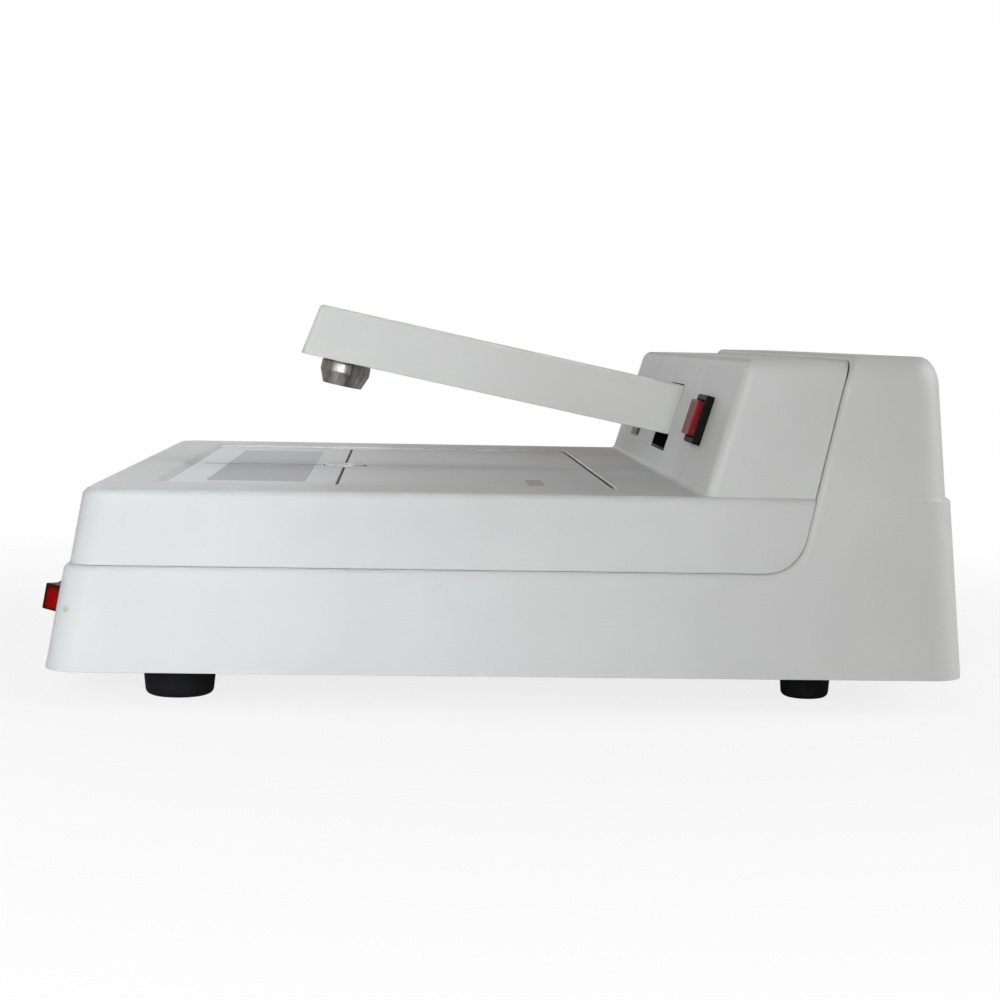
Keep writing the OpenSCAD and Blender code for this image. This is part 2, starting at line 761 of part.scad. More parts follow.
// D-shaped outline of the serial socket, long side to the left
module d_outline(less) {
    r = 1.6;
    narrow = d_size[0] / 2 - less;
    long = d_size[1] / 2 - less;
    short = long - 2 * narrow * tan(10);
    blend = 0.9;
    polygon([[-narrow, -long + r], [-narrow + r * 0.7, -long],
        [narrow - r, -short - blend], [narrow, -short + r - blend],
        [narrow, short - r + blend], [narrow - r, short + blend],
        [-narrow + r * 0.7, long], [-narrow, long - r]]);
}
module serial_shell() {
    flange_t = 0.8;
    color("#b9b3a2") difference() {
        union() {
            from_rear(recess_y + 0.1 + flange_t, flange_t) translate([serial_x, connector_z])
                rounded_outline(flange_size[0], flange_size[1], 0.8);
            from_rear(recess_y + d_reach, d_reach) translate([serial_x, connector_z]) d_outline(0);
        }
        from_rear(recess_y + d_reach + 1, 9) translate([serial_x, connector_z]) d_outline(0.4);
        for (s = [-1, 1]) from_rear(recess_y + d_reach + 1, 9)
            translate([serial_x, connector_z + s * jack_pitch / 2]) circle(jack_r + 0.1);
    }
}
module serial_insulator() {
    color("#ece9e0") from_rear(recess_y + d_reach - 0.3, 13) translate([serial_x, connector_z])
        difference() {
            d_outline(0.45);
            for (p = contact_at) translate(p) circle(contact_r + 0.02, $fn = 20);
        }
}
module serial_contacts() {
    color(brass) from_rear(recess_y + d_reach - 1.4, 15) translate([serial_x, connector_z])
        for (p = contact_at) translate(p) difference() {
            circle(contact_r, $fn = 20);
            circle(contact_r - 0.2, $fn = 20);
        }
}
module serial_jackscrews() {
    color("#c4bfae") for (s = [-1, 1])
        translate([serial_x, recess_y + 1, connector_z + s * jack_pitch / 2]) rotate([-90, 0, 0])
            difference() {
                union() {
                    cylinder(r = jack_hex_r, h = jack_hex_h, $fn = 6);
                    translate([0, 0, -6]) cylinder(r = jack_r, h = 7);
                }
                translate([0, 0, -3]) cylinder(r = jack_bore_r, h = 10);
            }
}

// Outline in the inlet's own plane, x across and y up from its middle
module at_inlet(up) {
    translate([inlet_x, connector_z + up]) children();
}
// Flange of the mains inlet: a block with its two long ends brought to the screws
module inlet_flange() {
    w = inlet_flange_size[0] / 2;
    l = inlet_flange_size[1] / 2;
    flat = 5;
    in = 8;
    polygon([[-w, -flat], [-w + in, -l], [w - in, -l], [w, -flat],
        [w, flat], [w - in, l], [-w + in, l], [-w, flat]]);
}
// Outline of the socket: a rectangle with its two upper corners cut off
module socket_outline() {
    w = socket_w / 2;
    polygon([[-w, socket_low], [w, socket_low], [w, socket_high - socket_cut],
        [w - socket_cut, socket_high], [-w + socket_cut, socket_high], [-w, socket_high - socket_cut]]);
}
module inlet_body() {
    finger_notch = [11, 2];
    color(plastic_black) difference() {
        union() {
            from_rear(recess_y + inlet_flange_t + 0.1, inlet_flange_t) at_inlet(0) inlet_flange();
            from_rear(inlet_face_y, inlet_proud)
                at_inlet(-0.4) rounded_outline(inlet_front[0], inlet_front[1], 1.5);
            from_rear(recess_y + 1, 22) at_inlet(inlet_back_mid)
                square([inlet_back_w, inlet_back_h], center = true);
        }
        from_rear(inlet_face_y + 1, socket_deep + 1) at_inlet(0) socket_outline();
        from_rear(inlet_face_y + 1, drawer_deep + 2) at_inlet(drawer_mid)
            square([drawer_w + 2 * drawer_gap, drawer_h + 2 * drawer_gap], center = true);
        from_rear(inlet_face_y + 1, 3) at_inlet(drawer_high + 0.8) square(finger_notch, center = true);
        for (s = [-1, 1]) from_rear(recess_y + 9, 12)
            translate([s * inlet_pitch / 2, 0]) at_inlet(0) circle(screw_r + 0.2);
        inlet_blades(0.04);
    }
}
// Blades of the inlet, wider by slack for the slots that hold them
module inlet_blades(slack) {
    for (p = blade_at)
        translate([inlet_x + p[0], inlet_face_y - blade_back, connector_z + p[1]]) rotate([90, 0, 0])
            block(blade_size[0] + slack, blade_size[1] + slack, blade_size[2]);
}
module inlet_pins() {
    color(steel) inlet_blades(0);
}
module fuse_drawer() {
    finger_lip = [10.4, 1.4];
    pocket = [21.4, 6.6];
    color("#242426") difference() {
        union() {
            from_rear(inlet_face_y + 0.4, drawer_deep) at_inlet(drawer_mid)
                square([drawer_w, drawer_h], center = true);
            from_rear(inlet_face_y + 0.6, 1.6)
                at_inlet(drawer_high + 0.6) square(finger_lip, center = true);
        }
        translate([inlet_x, fuse_y, connector_z + drawer_mid - 3.2]) block(pocket[0], pocket[1], 20);
    }
}
module fuse() {
    cap_h = 5.4;
    color("#dfe7e6", 0.6)
        translate([inlet_x - fuse_l / 2, fuse_y, connector_z + drawer_mid - 0.4]) rotate([0, 90, 0]) {
            cylinder(r = fuse_r - 0.3, h = fuse_l);
            for (x = [0, fuse_l - cap_h]) translate([0, 0, x]) cylinder(r = fuse_r, h = cap_h);
        }
}
module inlet_screws() {
    color(steel) for (s = [-1, 1]) translate([inlet_x + s * inlet_pitch / 2, recess_y + 3.1, connector_z])
        rotate([-90, 0, 0]) {
            difference() {
                cylinder(r = 3, h = 1.7);
                translate([0, 0, 0.9]) for (a = [0, 90]) rotate([0, 0, a]) block(3.4, 0.7, 1);
            }
            translate([0, 0, -7]) cylinder(r = 1.45, h = 7.5);
        }
}

module rating_plate() {
    lean = atan(rear_draft);
    color("#eceded") translate([plate_x, rear_y(plate_h), foot_h + plate_h]) rotate([90 - lean, 0, 180])
        rounded_block(plate_size[0], plate_size[1], plate_size[2], 0.8);
}

// ---- Arm ----
// Side outline of the arm, pressed down, shrunk by t on its front, top and bottom
module arm_side(t, back) {
    low = arm_bottom_z + (t > 0 ? -1 : 0);
    top = arm_top_z - t;
    r = arm_round - t / 2;
    front = arm_front + t;
    polygon(concat([[back, low], [front, low]],
        [for (i = [0:6]) let (a = 180 - 90 * i / 6)
            [front + arm_front_lean * (1 - r / arm_d) + r + r * cos(a), top - r + r * sin(a)]],
        [[back, top]]));
}
module arm_block(t, back) {
    half = arm_w / 2 - t;
    r = t > 0 ? arm_edge / 2 : arm_edge;
    intersection() {
        translate([-half, 0, 0]) rotate([90, 0, 90]) linear_extrude(2 * half) arm_side(t, back);
        arm_section(half, r, t);
    }
}
// Cross section of the arm with its upper edges rounded, run along its length
module arm_section(half, r, t) {
    top = arm_top_z - t;
    translate([0, 120, 0]) rotate([90, 0, 0]) linear_extrude(260) polygon(concat(
        [[-half, arm_bottom_z - 2], [half, arm_bottom_z - 2]],
        [for (a = [0:18:90]) [half - r + r * cos(a), top - r + r * sin(a)]],
        [for (a = [90:18:180]) [-half + r + r * cos(a), top - r + r * sin(a)]]));
}
module arm_shell() {
    color(arm_white) raise_arm() difference() {
        arm_block(0, arm_back);
        arm_block(arm_wall, arm_back + 1);
    }
}
module arm_bottom() {
    front_clear = arm_wall + 0.8;
    l = arm_back - arm_front - front_clear - arm_wall - 0.5;
    color(arm_white) raise_arm() difference() {
        translate([0, arm_front + front_clear + l / 2, arm_bottom_z])
            block(arm_w - 2 * arm_wall - 0.2, l, arm_cover_t);
        translate([0, spot_y, arm_bottom_z - 1]) cylinder(r = probe_neck_r + 0.05, h = 5);
        for (y = arm_screw_at) translate([0, y, arm_bottom_z - 1]) {
            cylinder(r = arm_screw_r + 0.15, h = 5);
            cylinder(r = arm_screw_head[0] + 0.2, h = arm_screw_head[1] + 1);
        }
    }
}
module arm_screws() {
    color(steel) raise_arm() for (y = arm_screw_at) translate([0, y, arm_bottom_z]) {
        difference() {
            cylinder(r = arm_screw_head[0], h = arm_screw_head[1]);
            screw_cross();
        }
        translate([0, 0, arm_screw_head[1] - 0.2]) cylinder(r = arm_screw_r, h = 6);
    }
}
// Side outline of the lever's flanges: low in the arm, with ears at the pivot
module lever_side() {
    z = lever_web_z;
    flange_h = 9;
    ear_h = 7;
    polygon([[lever_front, z], [lever_back, z], [lever_back, z + 6],
        [pivot_y + 15, pivot_z], [pivot_y + 8, pivot_z],
        [pivot_y + 6, pivot_z + ear_h - 1.5], [pivot_y + 3, pivot_z + ear_h],
        [pivot_y - 3, pivot_z + ear_h], [pivot_y - 7, pivot_z + ear_h - 3],
        [pivot_y - 10, z + flange_h], [lever_front, z + flange_h]]);
}
module arm_lever() {
    color(steel) raise_arm() difference() {
        translate([-lever_w / 2, 0, 0]) rotate([90, 0, 90]) linear_extrude(lever_w) lever_side();
        translate([0, (lever_front + lever_back) / 2, lever_web_z + lever_t])
            block(lever_w - 2 * lever_t, lever_back - lever_front + 10, 40);
        translate([0, spot_y, lever_web_z - 1]) cylinder(r = probe_neck_r + 0.05, h = 5);
        for (y = arm_screw_at) translate([0, y, lever_web_z - 1]) cylinder(r = arm_screw_r + 0.05, h = 5);
        translate([-20, pivot_y, pivot_z]) rotate([0, 90, 0]) cylinder(r = bush_r, h = 40);
    }
}
module pivot_bushes() {
    color(brass) raise_arm() for (s = [-1, 1])
        translate([0, pivot_y, pivot_z]) rotate([0, 90 * s, 0]) difference() {
            union() {
                translate([0, 0, lever_w / 2 - lever_t - 0.5]) cylinder(r = bush_r, h = lever_t + 0.6);
                translate([0, 0, lever_w / 2])
                    cylinder(r = bush_flange_r, h = bracket_in - lever_w / 2 - 0.4);
            }
            translate([0, 0, 2]) cylinder(r = bush_bore_r, h = 30);
        }
}
module probe_body() {
    tip = arm_bottom_z - probe_h;
    neck_h = 5;
    light_r = 2.5;
    color(steel) raise_arm() translate([0, spot_y, tip]) difference() {
        rotate_extrude() polygon([[0, 0], [probe_tip_d / 2, 0], [probe_d / 2, probe_chamfer_h],
            [probe_d / 2 - 0.1, probe_h], [probe_neck_r, probe_h],
            [probe_neck_r, probe_h + neck_h], [0, probe_h + neck_h]]);
        translate([0, 0, -1]) cylinder(r = light_r, h = 20);
        translate([0, 0, -1]) cylinder(r = pane_r + 0.05, h = pane_t + 1.1);
        translate([0, 0, can_up]) cylinder(r = can_r + 0.1, h = 20);
    }
}
// Glass pane in the probe's tip, and the photodiode's can above it
pane_r = 3.95;
pane_t = 0.9;
can_r = 4.1;
can_up = 6;            // the can begins this far above the tip
lead_at = [-1.2, 1.2];
module probe_window() {
    color("#dfe9ea", 0.6) raise_arm() translate([0, spot_y, arm_bottom_z - probe_h + 0.1])
        cylinder(r = pane_r, h = pane_t);
}
module photodiode() {
    can_h = 4.5;
    color("#9b9d9f") raise_arm() translate([0, spot_y, arm_bottom_z - probe_h + can_up]) {
        cylinder(r = can_r, h = can_h);
        for (x = lead_at) translate([x, 0, can_h - 0.5]) cylinder(r = 0.25, h = 4, $fn = 16);
    }
}
module sensor_board() {
    z = arm_bottom_z + 5;
    w = 16;
    l = 30;
    color(board_green) raise_arm() difference() {
        translate([0, spot_y + 8, z]) block(w, l, board_t);
        for (x = lead_at) translate([x, spot_y, z - 1]) cylinder(r = 0.4, h = 5, $fn = 16);
    }
}

// ---- Pivot of the arm ----
module pivot_bracket() {
    mid = (bracket_front + bracket_back) / 2;
    long = bracket_back - bracket_front;
    color("#9fa2a5") difference() {
        union() {
            translate([0, mid, plate_top]) block(2 * (bracket_in + bracket_t), long, bracket_t);
            for (s = [-1, 1]) translate([s * (bracket_in + bracket_t / 2), mid, plate_top])
                block(bracket_t, long, bracket_top - plate_top);
            translate([0, bridge_y, bracket_top - bridge[1]])
                block(2 * bracket_in + 1, bridge[0], bridge[1]);
        }
        translate([-30, pivot_y, pivot_z]) rotate([0, 90, 0]) cylinder(r = shaft_r + 0.01, h = 60);
        translate([-30, spring_y, spring_pin_z]) rotate([0, 90, 0]) cylinder(r = pin_r, h = 60);
        translate([-30, stop_y, stop_z]) rotate([0, 90, 0]) cylinder(r = pin_r, h = 60);
    }
}
module pivot_shaft() {
    shaft_l = 43;
    pin_l = 38;
    color(steel) {
        translate([-shaft_l / 2, pivot_y, pivot_z]) rotate([0, 90, 0])
            cylinder(r = shaft_r, h = shaft_l);
        translate([-pin_l / 2, spring_y, spring_pin_z]) rotate([0, 90, 0])
            cylinder(r = pin_r, h = pin_l);
    }
}
module shaft_clips() {
    clip = [5, 1];     // radius and thickness
    clip_x = 19.3;
    color("#3a3b3d") for (x = [-clip_x - clip[1], clip_x])
        translate([x, pivot_y, pivot_z]) rotate([0, 90, 0]) difference() {
            cylinder(r = clip[0], h = clip[1]);
            translate([0, 0, -1]) cylinder(r = shaft_r, h = 3);
        }
}
module return_spring() {
    spring_l = 30.2;
    color(steel) translate([0, spring_y, spring_pin_z + pin_r + 0.1])
        coil_spring(3.6, 1, 11, spring_l);
}
module arm_stop() {
    color(plastic_black) translate([-bracket_in + 0.1, stop_y, stop_z]) rotate([0, 90, 0])
        cylinder(r = stop_r, h = 2 * bracket_in - 0.2);
}
module arm_switch() {
    low = pivot_z + 2.4;
    color(plastic_black) translate([0, bridge_y, 0]) {
        translate([0, 0, low]) block(20, 6.4, bracket_top - bridge[1] - low);
        translate([-5, 0, low - 1.5]) cylinder(r = 1.2, h = 2, $fn = 24);
    }
}

// ---- Electrics on the bottom plate ----
board_x = -72;
board_y = 0;
board_w = 70;
board_l = 96;
standoff_h = 6;
board_z = plate_top + standoff_h;
standoff_at = [for (x = [-1, 1], y = [-1, 1])
    [board_x + x * (board_w / 2 - 4), board_y + y * (board_l / 2 - 4)]];
module main_board() {
    color(board_green) difference() {
        translate([board_x, board_y, board_z]) block(board_w, board_l, board_t);
        at_each(standoff_at) translate([0, 0, board_z - 1]) cylinder(r = board_hole_r, h = 4);
    }
}
module board_standoffs() {
    hex_r = 2.75;
    head = [2.6, 1.6];
    color(brass) at_each(standoff_at) {
        translate([0, 0, plate_top]) cylinder(r = hex_r, h = standoff_h, $fn = 6);
        translate([0, 0, board_z - 1]) cylinder(r = board_hole_r - 0.1, h = board_t + 1.4);
        translate([0, 0, board_z + board_t]) cylinder(r = head[0], h = head[1]);
    }
}
module board_components() {
    z = board_z + board_t;
    color("#2b2c2f") {
        for (y = [-30, -8, 14]) translate([board_x - 14, board_y + y, z]) block(18, 8, 3.6);
        for (x = [8, 22]) translate([board_x + x, board_y + 30, z]) cylinder(r = 5.5, h = 14);
        for (y = [-36:12:0]) translate([board_x + 16, board_y + y, z]) block(9, 5, 6);
        translate([board_x - 14, board_y + 36, z]) block(22, 6, 9);
    }
}
trafo_x = 70;
trafo_y = 68;
core_size = [50, 25, 42];
core_leg = 17;         // width of the core's middle leg
core_window = [8, 24]; // width and height of the windows beside it
core_yoke = 9;
module transformer_core() {
    color("#5c5f63") translate([trafo_x, trafo_y, plate_top]) difference() {
        block(core_size[0], core_size[1], core_size[2]);
        for (s = [-1, 1]) translate([s * (core_leg + core_window[0]) / 2, 0, core_yoke])
            block(core_window[0], 2 * core_size[1], core_window[1]);
    }
}
module transformer_coil() {
    slack = 0.2;
    reach = 7.5;       // the coil stands out of the core's faces by this much
    color("#b98a3a") translate([trafo_x, trafo_y, plate_top + core_yoke + slack]) difference() {
        block(core_leg + 2 * core_window[0] - 2 * slack, core_size[1] + 2 * reach,
            core_window[1] - 2 * slack);
        translate([0, 0, -1]) block(core_leg + slack, core_size[1] + slack, 40);
    }
}

base_shell();
front_cover();
bottom_plate();
case_screws();
front_feet();
rear_feet();
foot_screws();
stage_plate();
stage_field();
aperture_ring();
aperture_diffuser();
slot_liner();
display_window();
display_module();
display_board();
zero_button_body();
zero_button_cap();
zero_button_spring();
power_switch_body();
power_rocker();
connector_frame();
serial_shell();
serial_insulator();
serial_contacts();
serial_jackscrews();
inlet_body();
inlet_pins();
fuse_drawer();
fuse();
inlet_screws();
rating_plate();
arm_shell();
arm_bottom();
arm_lever();
arm_screws();
pivot_bushes();
probe_body();
probe_window();
photodiode();
sensor_board();
pivot_bracket();
pivot_shaft();
shaft_clips();
return_spring();
arm_stop();
arm_switch();
lamp_housing();
condenser_lens();
lamp();
lamp_socket();
main_board();
board_standoffs();
board_components();
transformer_core();
transformer_coil();
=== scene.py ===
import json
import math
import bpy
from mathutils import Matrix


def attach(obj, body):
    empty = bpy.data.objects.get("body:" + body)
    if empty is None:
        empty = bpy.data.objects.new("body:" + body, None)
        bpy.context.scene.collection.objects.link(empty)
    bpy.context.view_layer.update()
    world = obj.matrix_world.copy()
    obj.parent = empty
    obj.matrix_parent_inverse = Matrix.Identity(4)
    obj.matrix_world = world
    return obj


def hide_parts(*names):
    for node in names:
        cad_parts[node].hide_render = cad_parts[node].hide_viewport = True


bl_info = {
    "name": "Film densitometer",
    "version": (1, 0, 0),
    "blender": (4, 5, 0),
    "location": "View3D > Sidebar > Densitometer",
    "description": "Dresses the packed solids of a transmission densitometer for film",
    "category": "Add Mesh",
}

import bmesh
import bpy
import numpy as np
from mathutils import Matrix, Vector
from mathutils.geometry import tessellate_polygon

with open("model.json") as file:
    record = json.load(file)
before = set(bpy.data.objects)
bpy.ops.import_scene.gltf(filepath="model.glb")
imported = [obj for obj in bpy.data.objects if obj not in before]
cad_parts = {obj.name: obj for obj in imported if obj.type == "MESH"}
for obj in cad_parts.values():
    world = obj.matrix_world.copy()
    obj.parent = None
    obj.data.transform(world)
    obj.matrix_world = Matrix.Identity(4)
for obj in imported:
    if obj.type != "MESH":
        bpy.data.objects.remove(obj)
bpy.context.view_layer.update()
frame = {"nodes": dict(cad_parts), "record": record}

MM = 0.001

# Sizes shared with the solids, in millimetres. Heights called *_H are above the underside.
FOOT_H = 9.0
HALF = 130.0
LEDGE_H, DECK_H, HUMP_H, HOOD_H = 29.5, 51.0, 90.0, 91.5
WALL = 2.8
CORNER_R = 10.0
SEAM_GAP = 0.05
SEAM_Y, SEAM_LEAN, SEAM_ARC = 86.8, math.radians(13), 12.0
COVER_IN, HUMP_IN = 1.4, 3.0
REAR_GAP, HOLLOW_GAP = 0.35, 3.5
DECK_ROUND, HUMP_ROUND, HOOD_ROUND = 2.2, 5.0, 8.0
HOOD_REAR_SHARE = 0.62
REAR_SET = 0.8
STEP_IN, STEP_LOW, STEP_TALL = 1.4, 0.5, 1.3
PANEL_FOOT, PANEL_LEAN = 55.0, math.radians(16.75)
STAGE = (196.0, 133.0, 3.0)
STAGE_MID, STAGE_TOP = -33.9, 59.15
SPOT_Y, SPOT_R, RING_R = -50.0, 2.48, 6.8
ARM_W, ARM_D = 30.0, 17.2
ARM_FRONT, ARM_BACK, ARM_LOW = -65.2, 66.0, 68.2
ARM_LEAN = 3.0
PIVOT = (80.0, 80.0)
ARM_RAISE = math.radians(11.5)
FRONT_DRAFT, REAR_DRAFT, SIDE_DRAFT = 0.173, 0.08, 0.057
RECESS_Y, FRAME_Y = 121.5, 131.8
FRAME_X, SERIAL_X, INLET_X, CONNECTOR_Z = -72.7, -50.5, -82.0, 29.5
ROCKER = (98.0, 16.4)
BUTTON = (77.0, 20.5)
LABEL, LABEL_AT = (51.0, 24.0), (86.5, 30.5)

# Openings in the shell and in the sloped panel: their ends across, and their ends in height
# or, on the panel, up from its foot
FRAME_HOLE = ((-109.9, -35.5), (0.0, 42.3))
ROCKER_HOLE = ((91.2, 104.8), (12.0, 20.8))
SLOT_HOLE = ((-17.0, 17.0), (7.0, 30.5))
BUTTON_HOLE = ((68.5, 85.5), (13.85, 27.15))
WINDOW_HOLE = ((-82.5, -58.5), (8.1, 28.5))

SLOTS = {row["node"]: row["material_slot"] for row in frame["record"]["subparts"]}
BODIES = {node: body for body, nodes in frame["record"]["behaviour"]["bodies"].items() for node in nodes}


# ---- Form of the case, in numpy ----
def side_x(h):
    """Half width of the case at a height: it narrows evenly as it rises."""
    return HALF - SIDE_DRAFT * h


def front_y(h):
    """Front face at a height: it leans back evenly."""
    return -HALF + FRONT_DRAFT * h


def rear_y(h):
    """Rear face at a height: it leans forward evenly and steps in at the deck, along a
    smooth S."""
    t = np.clip((h - DECK_H + STEP_LOW) / STEP_TALL, 0, 1)
    return HALF + REAR_SET - REAR_DRAFT * h - STEP_IN * t * t * (3 - 2 * t)


def hood_y(h):
    """Rear face up over the hood's round, which is drawn in less there than at the sides."""
    t = np.clip(h - HOOD_H + HOOD_ROUND, 0, HOOD_ROUND)
    return rear_y(h) + (1 - HOOD_REAR_SHARE) * (HOOD_ROUND - np.sqrt(HOOD_ROUND ** 2 - t ** 2))


def panel_y(h):
    """Sloped panel at a height."""
    return PANEL_FOOT + (h - DECK_H) * math.tan(PANEL_LEAN)


def seam_centre(gap):
    """Middle of the arc with which the seam turns up, for the cover's or the shell's edge."""
    level = LEDGE_H + gap
    turn = SEAM_Y - (DECK_H - level) * math.tan(SEAM_LEAN)
    return turn - SEAM_ARC * math.tan((math.pi / 2 - SEAM_LEAN) / 2) - gap, level + SEAM_ARC


def seam_y(h, gap):
    """Seam at a height: a quarter arc that turns up from the ledge, then a leaning line."""
    cy, ch = seam_centre(gap)
    arc = cy + np.sqrt(np.maximum(SEAM_ARC ** 2 - (ch - h) ** 2, 0))
    line = SEAM_Y - gap + (h - DECK_H) * math.tan(SEAM_LEAN)
    return np.where(h < ch - SEAM_ARC, cy, np.where(h < ch - SEAM_ARC * math.sin(SEAM_LEAN), arc, line))


def seam_distance(y, h, gap):
    """Distance from the seam in side view, positive below and behind it: the distance to a
    wedge drawn in by the arc's radius, less that radius."""
    cy, ch = seam_centre(gap)
    y, h = y - cy, h - ch
    c, s = math.cos(SEAM_LEAN), math.sin(SEAM_LEAN)
    flat, steep = -h, y * c - h * s
    corner = (y > 0) & (y * s + h * c < 0)
    return np.where(corner, np.hypot(y, h), np.maximum(flat, steep)) - SEAM_ARC


def edge_round(d, r):
    """How far a surface drops at distance d from its edge, for a quarter round of radius r."""
    t = np.clip(r - d, 0, r)
    return r - np.sqrt(np.maximum(r * r - t * t, 0))


def u_path(h, half_at, cut_at, far_at, r, near, run, wall, steps):
    """Points and outward directions of a U in plan at every height h, rows by columns: from
    the cut along the right flank, round a corner of radius r, across the far wall and back.
    near are distances from the cut, run are parts of the rest of a flank, wall are places
    across the far wall, and steps is the number of flats on a corner."""
    near, run, wall = (np.asarray(v, float) for v in (near, run, wall))
    flank, turn = len(near) + len(run), steps + 1
    angle = np.linspace(0, math.pi / 2, turn)

    def right(h):
        side, bend = h[:, :flank], h[:, flank:]
        first, last = cut_at(side) + near[-1], far_at(side) - r
        y = np.concatenate([cut_at(side[:, :len(near)]) + near,
                            (first + (last - first) * np.r_[near * 0, run])[:, len(near):]], 1)
        x = half_at(side)
        return (np.concatenate([x, half_at(bend) - r + r * np.cos(angle)], 1),
                np.concatenate([y, far_at(bend) - r + r * np.sin(angle)], 1))

    xr, yr = right(h[:, :flank + turn])
    xl, yl = right(h[:, ::-1][:, :flank + turn])
    mid = h[:, flank + turn:flank + turn + len(wall)]
    x = np.concatenate([xr, wall + 0 * mid, -xl[:, ::-1]], 1)
    y = np.concatenate([yr, far_at(mid), yl[:, ::-1]], 1)
    nx = np.r_[np.ones(flank), np.cos(angle), 0 * wall, -np.cos(angle[::-1]), -np.ones(flank)]
    ny = np.r_[np.zeros(flank), np.sin(angle), 0 * wall + 1, np.sin(angle[::-1]), np.zeros(flank)]
    return x, y, nx, ny


def u_skin(path, h, inset, lean, drop):
    """Surface over a U: every point moves in by inset, and by drop against the surface's own
    direction, which leans up from the level by the angle lean."""
    x, y, nx, ny = path
    level = inset + drop * np.cos(lean)
    return np.stack([x - level * nx, y - level * ny, h - drop * np.sin(lean) + FOOT_H], -1)


def grid_quads(index, holes=()):
    """Quads between the rows and columns of an array of vertex numbers, but for the holes."""
    quads = np.stack([index[:-1, :-1], index[:-1, 1:], index[1:, 1:], index[1:, :-1]], -1)
    keep = np.ones(quads.shape[:2], bool)
    for rows, columns in holes:
        keep[rows[0]:rows[1], columns[0]:columns[1]] = False
    return quads[keep]


def numbers(shape, start=0):
    """Vertex numbers for a grid whose first vertex has the number start."""
    return start + np.arange(shape[0] * shape[1]).reshape(shape[:2])


def cells(heights, places, column, along, up):
    """Rows and columns of a grid between two heights and two places across, where the first
    place is in the given column."""
    rows = sorted(int(np.argmin(np.abs(heights - end))) for end in up)
    columns = sorted(column + int(np.argmin(np.abs(places - end))) for end in along)
    return rows, columns


def roof(index, flank):
    """Faces over a U's top row: a quad from flank to flank for each step along them, and one
    flat face over the corners and the far wall."""
    right, left = index[:flank + 1], index[::-1][:flank + 1]
    quads = np.stack([right[:-1], right[1:], left[1:], left[:-1]], -1)
    return quads, [tuple(index[flank:len(index) - flank].tolist())]


def inner_side(h, inset, top, r, wall=WALL):
    """Heights and insets of a wall's inner side: the wall keeps its thickness, and its round
    edge of radius r below the top has a smaller round inside."""
    return h - np.maximum(h - top + r, 0) * wall / r, wall + inset * (r - wall) / r


def flat_faces(loops, numbers_of):
    """Triangles over a flat outline with holes, turned to face up. loops are arrays of places
    in the plane, and numbers_of their vertex numbers."""
    tris = np.array(tessellate_polygon([[Vector((*p, 0)) for p in loop] for loop in loops]))
    flat, index = np.concatenate(loops), np.concatenate(numbers_of)
    a, b, c = (flat[tris[:, k]] for k in range(3))
    area = (b[:, 0] - a[:, 0]) * (c[:, 1] - a[:, 1]) - (b[:, 1] - a[:, 1]) * (c[:, 0] - a[:, 0])
    tris = np.where((area < 0)[:, None], tris[:, ::-1], tris)[np.abs(area) > 1e-9]
    return index[tris]


def closed_wall(outer, inner, faces):
    """Closed shell between two skins with the same faces: the outer skin, the inner one
    turned over, and a quad along every open edge."""
    n = len(outer)
    arrays = [np.asarray(f) for f in faces if isinstance(f, np.ndarray)]
    loose = [f for f in faces if not isinstance(f, np.ndarray)]
    edges = [np.stack([a, np.roll(a, -1, 1)], -1).reshape(-1, 2) for a in arrays]
    edges += [np.stack([np.array(f), np.roll(f, -1)], -1) for f in loose]
    edges = np.concatenate(edges)
    forward, back = edges[:, 0] * n + edges[:, 1], edges[:, 1] * n + edges[:, 0]
    a, b = edges[~np.isin(forward, back)].T
    rims = np.stack([b, a, a + n, b + n], -1)
    out = [tuple(f) for q in arrays for f in np.concatenate([q, q[:, ::-1] + n]).tolist()]
    out += [tuple(f) for f in loose] + [tuple(i + n for i in f[::-1]) for f in loose]
    return np.concatenate([outer, inner]), out + [tuple(f) for f in rims.tolist()]


# ---- Paths with round corners, and what is carried along them ----
def rounded_path(corners, radii, steps=6):
    """Convex outline with round corners, as arcs joined in order: each arc's middle, outward
    directions and radius, so an inset curve is middle + (radius - inset) * direction."""
    p = np.asarray(corners, float)
    radii = np.broadcast_to(np.asarray(radii, float), len(p))
    before, after = p - np.roll(p, 1, 0), np.roll(p, -1, 0) - p
    before /= np.linalg.norm(before, axis=1)[:, None]
    after /= np.linalg.norm(after, axis=1)[:, None]
    start = np.arctan2(-before[:, 0], before[:, 1])
    turn = np.arctan2(before[:, 0] * after[:, 1] - before[:, 1] * after[:, 0], (before * after).sum(1))
    half = turn / 2
    out = np.stack([np.cos(start + half), np.sin(start + half)], -1)
    middle = p - out * (radii / np.cos(half))[:, None]
    angle = start[:, None] + turn[:, None] * np.linspace(0, 1, steps + 1)
    direction = np.stack([np.cos(angle), np.sin(angle)], -1).reshape(-1, 2)
    return np.repeat(middle, steps + 1, 0), direction, np.repeat(radii, steps + 1)


def rectangle(w, l, r, steps=6, at=(0, 0)):
    """Path of a rectangle with round corners."""
    x, y = w / 2, l / 2
    corners = np.array([[x, -y], [x, y], [-x, y], [-x, -y]]) + at
    return rounded_path(corners, r, steps)


def circle(r, steps=48, at=(0, 0)):
    """Path of a circle."""
    angle = np.linspace(0, 2 * math.pi, steps, endpoint=False)
    out = np.stack([np.cos(angle), np.sin(angle)], -1)
    return np.zeros((steps, 2)) + at, out, np.full(steps, float(r))


def plan(path):
    """Points of a path in its own plane."""
    middle, out, radius = path
    return middle + radius[:, None] * out


def at_level(points, level):
    """Points of a plane set at a level above it."""
    return np.column_stack([points, np.full(len(points), float(level))])


def ring_points(rows):
    """Rows of points: each is a path, an inset and a level."""
    return np.stack([at_level(plan((path[0], path[1], path[2] - inset)), level)
                     for path, inset, level in rows])


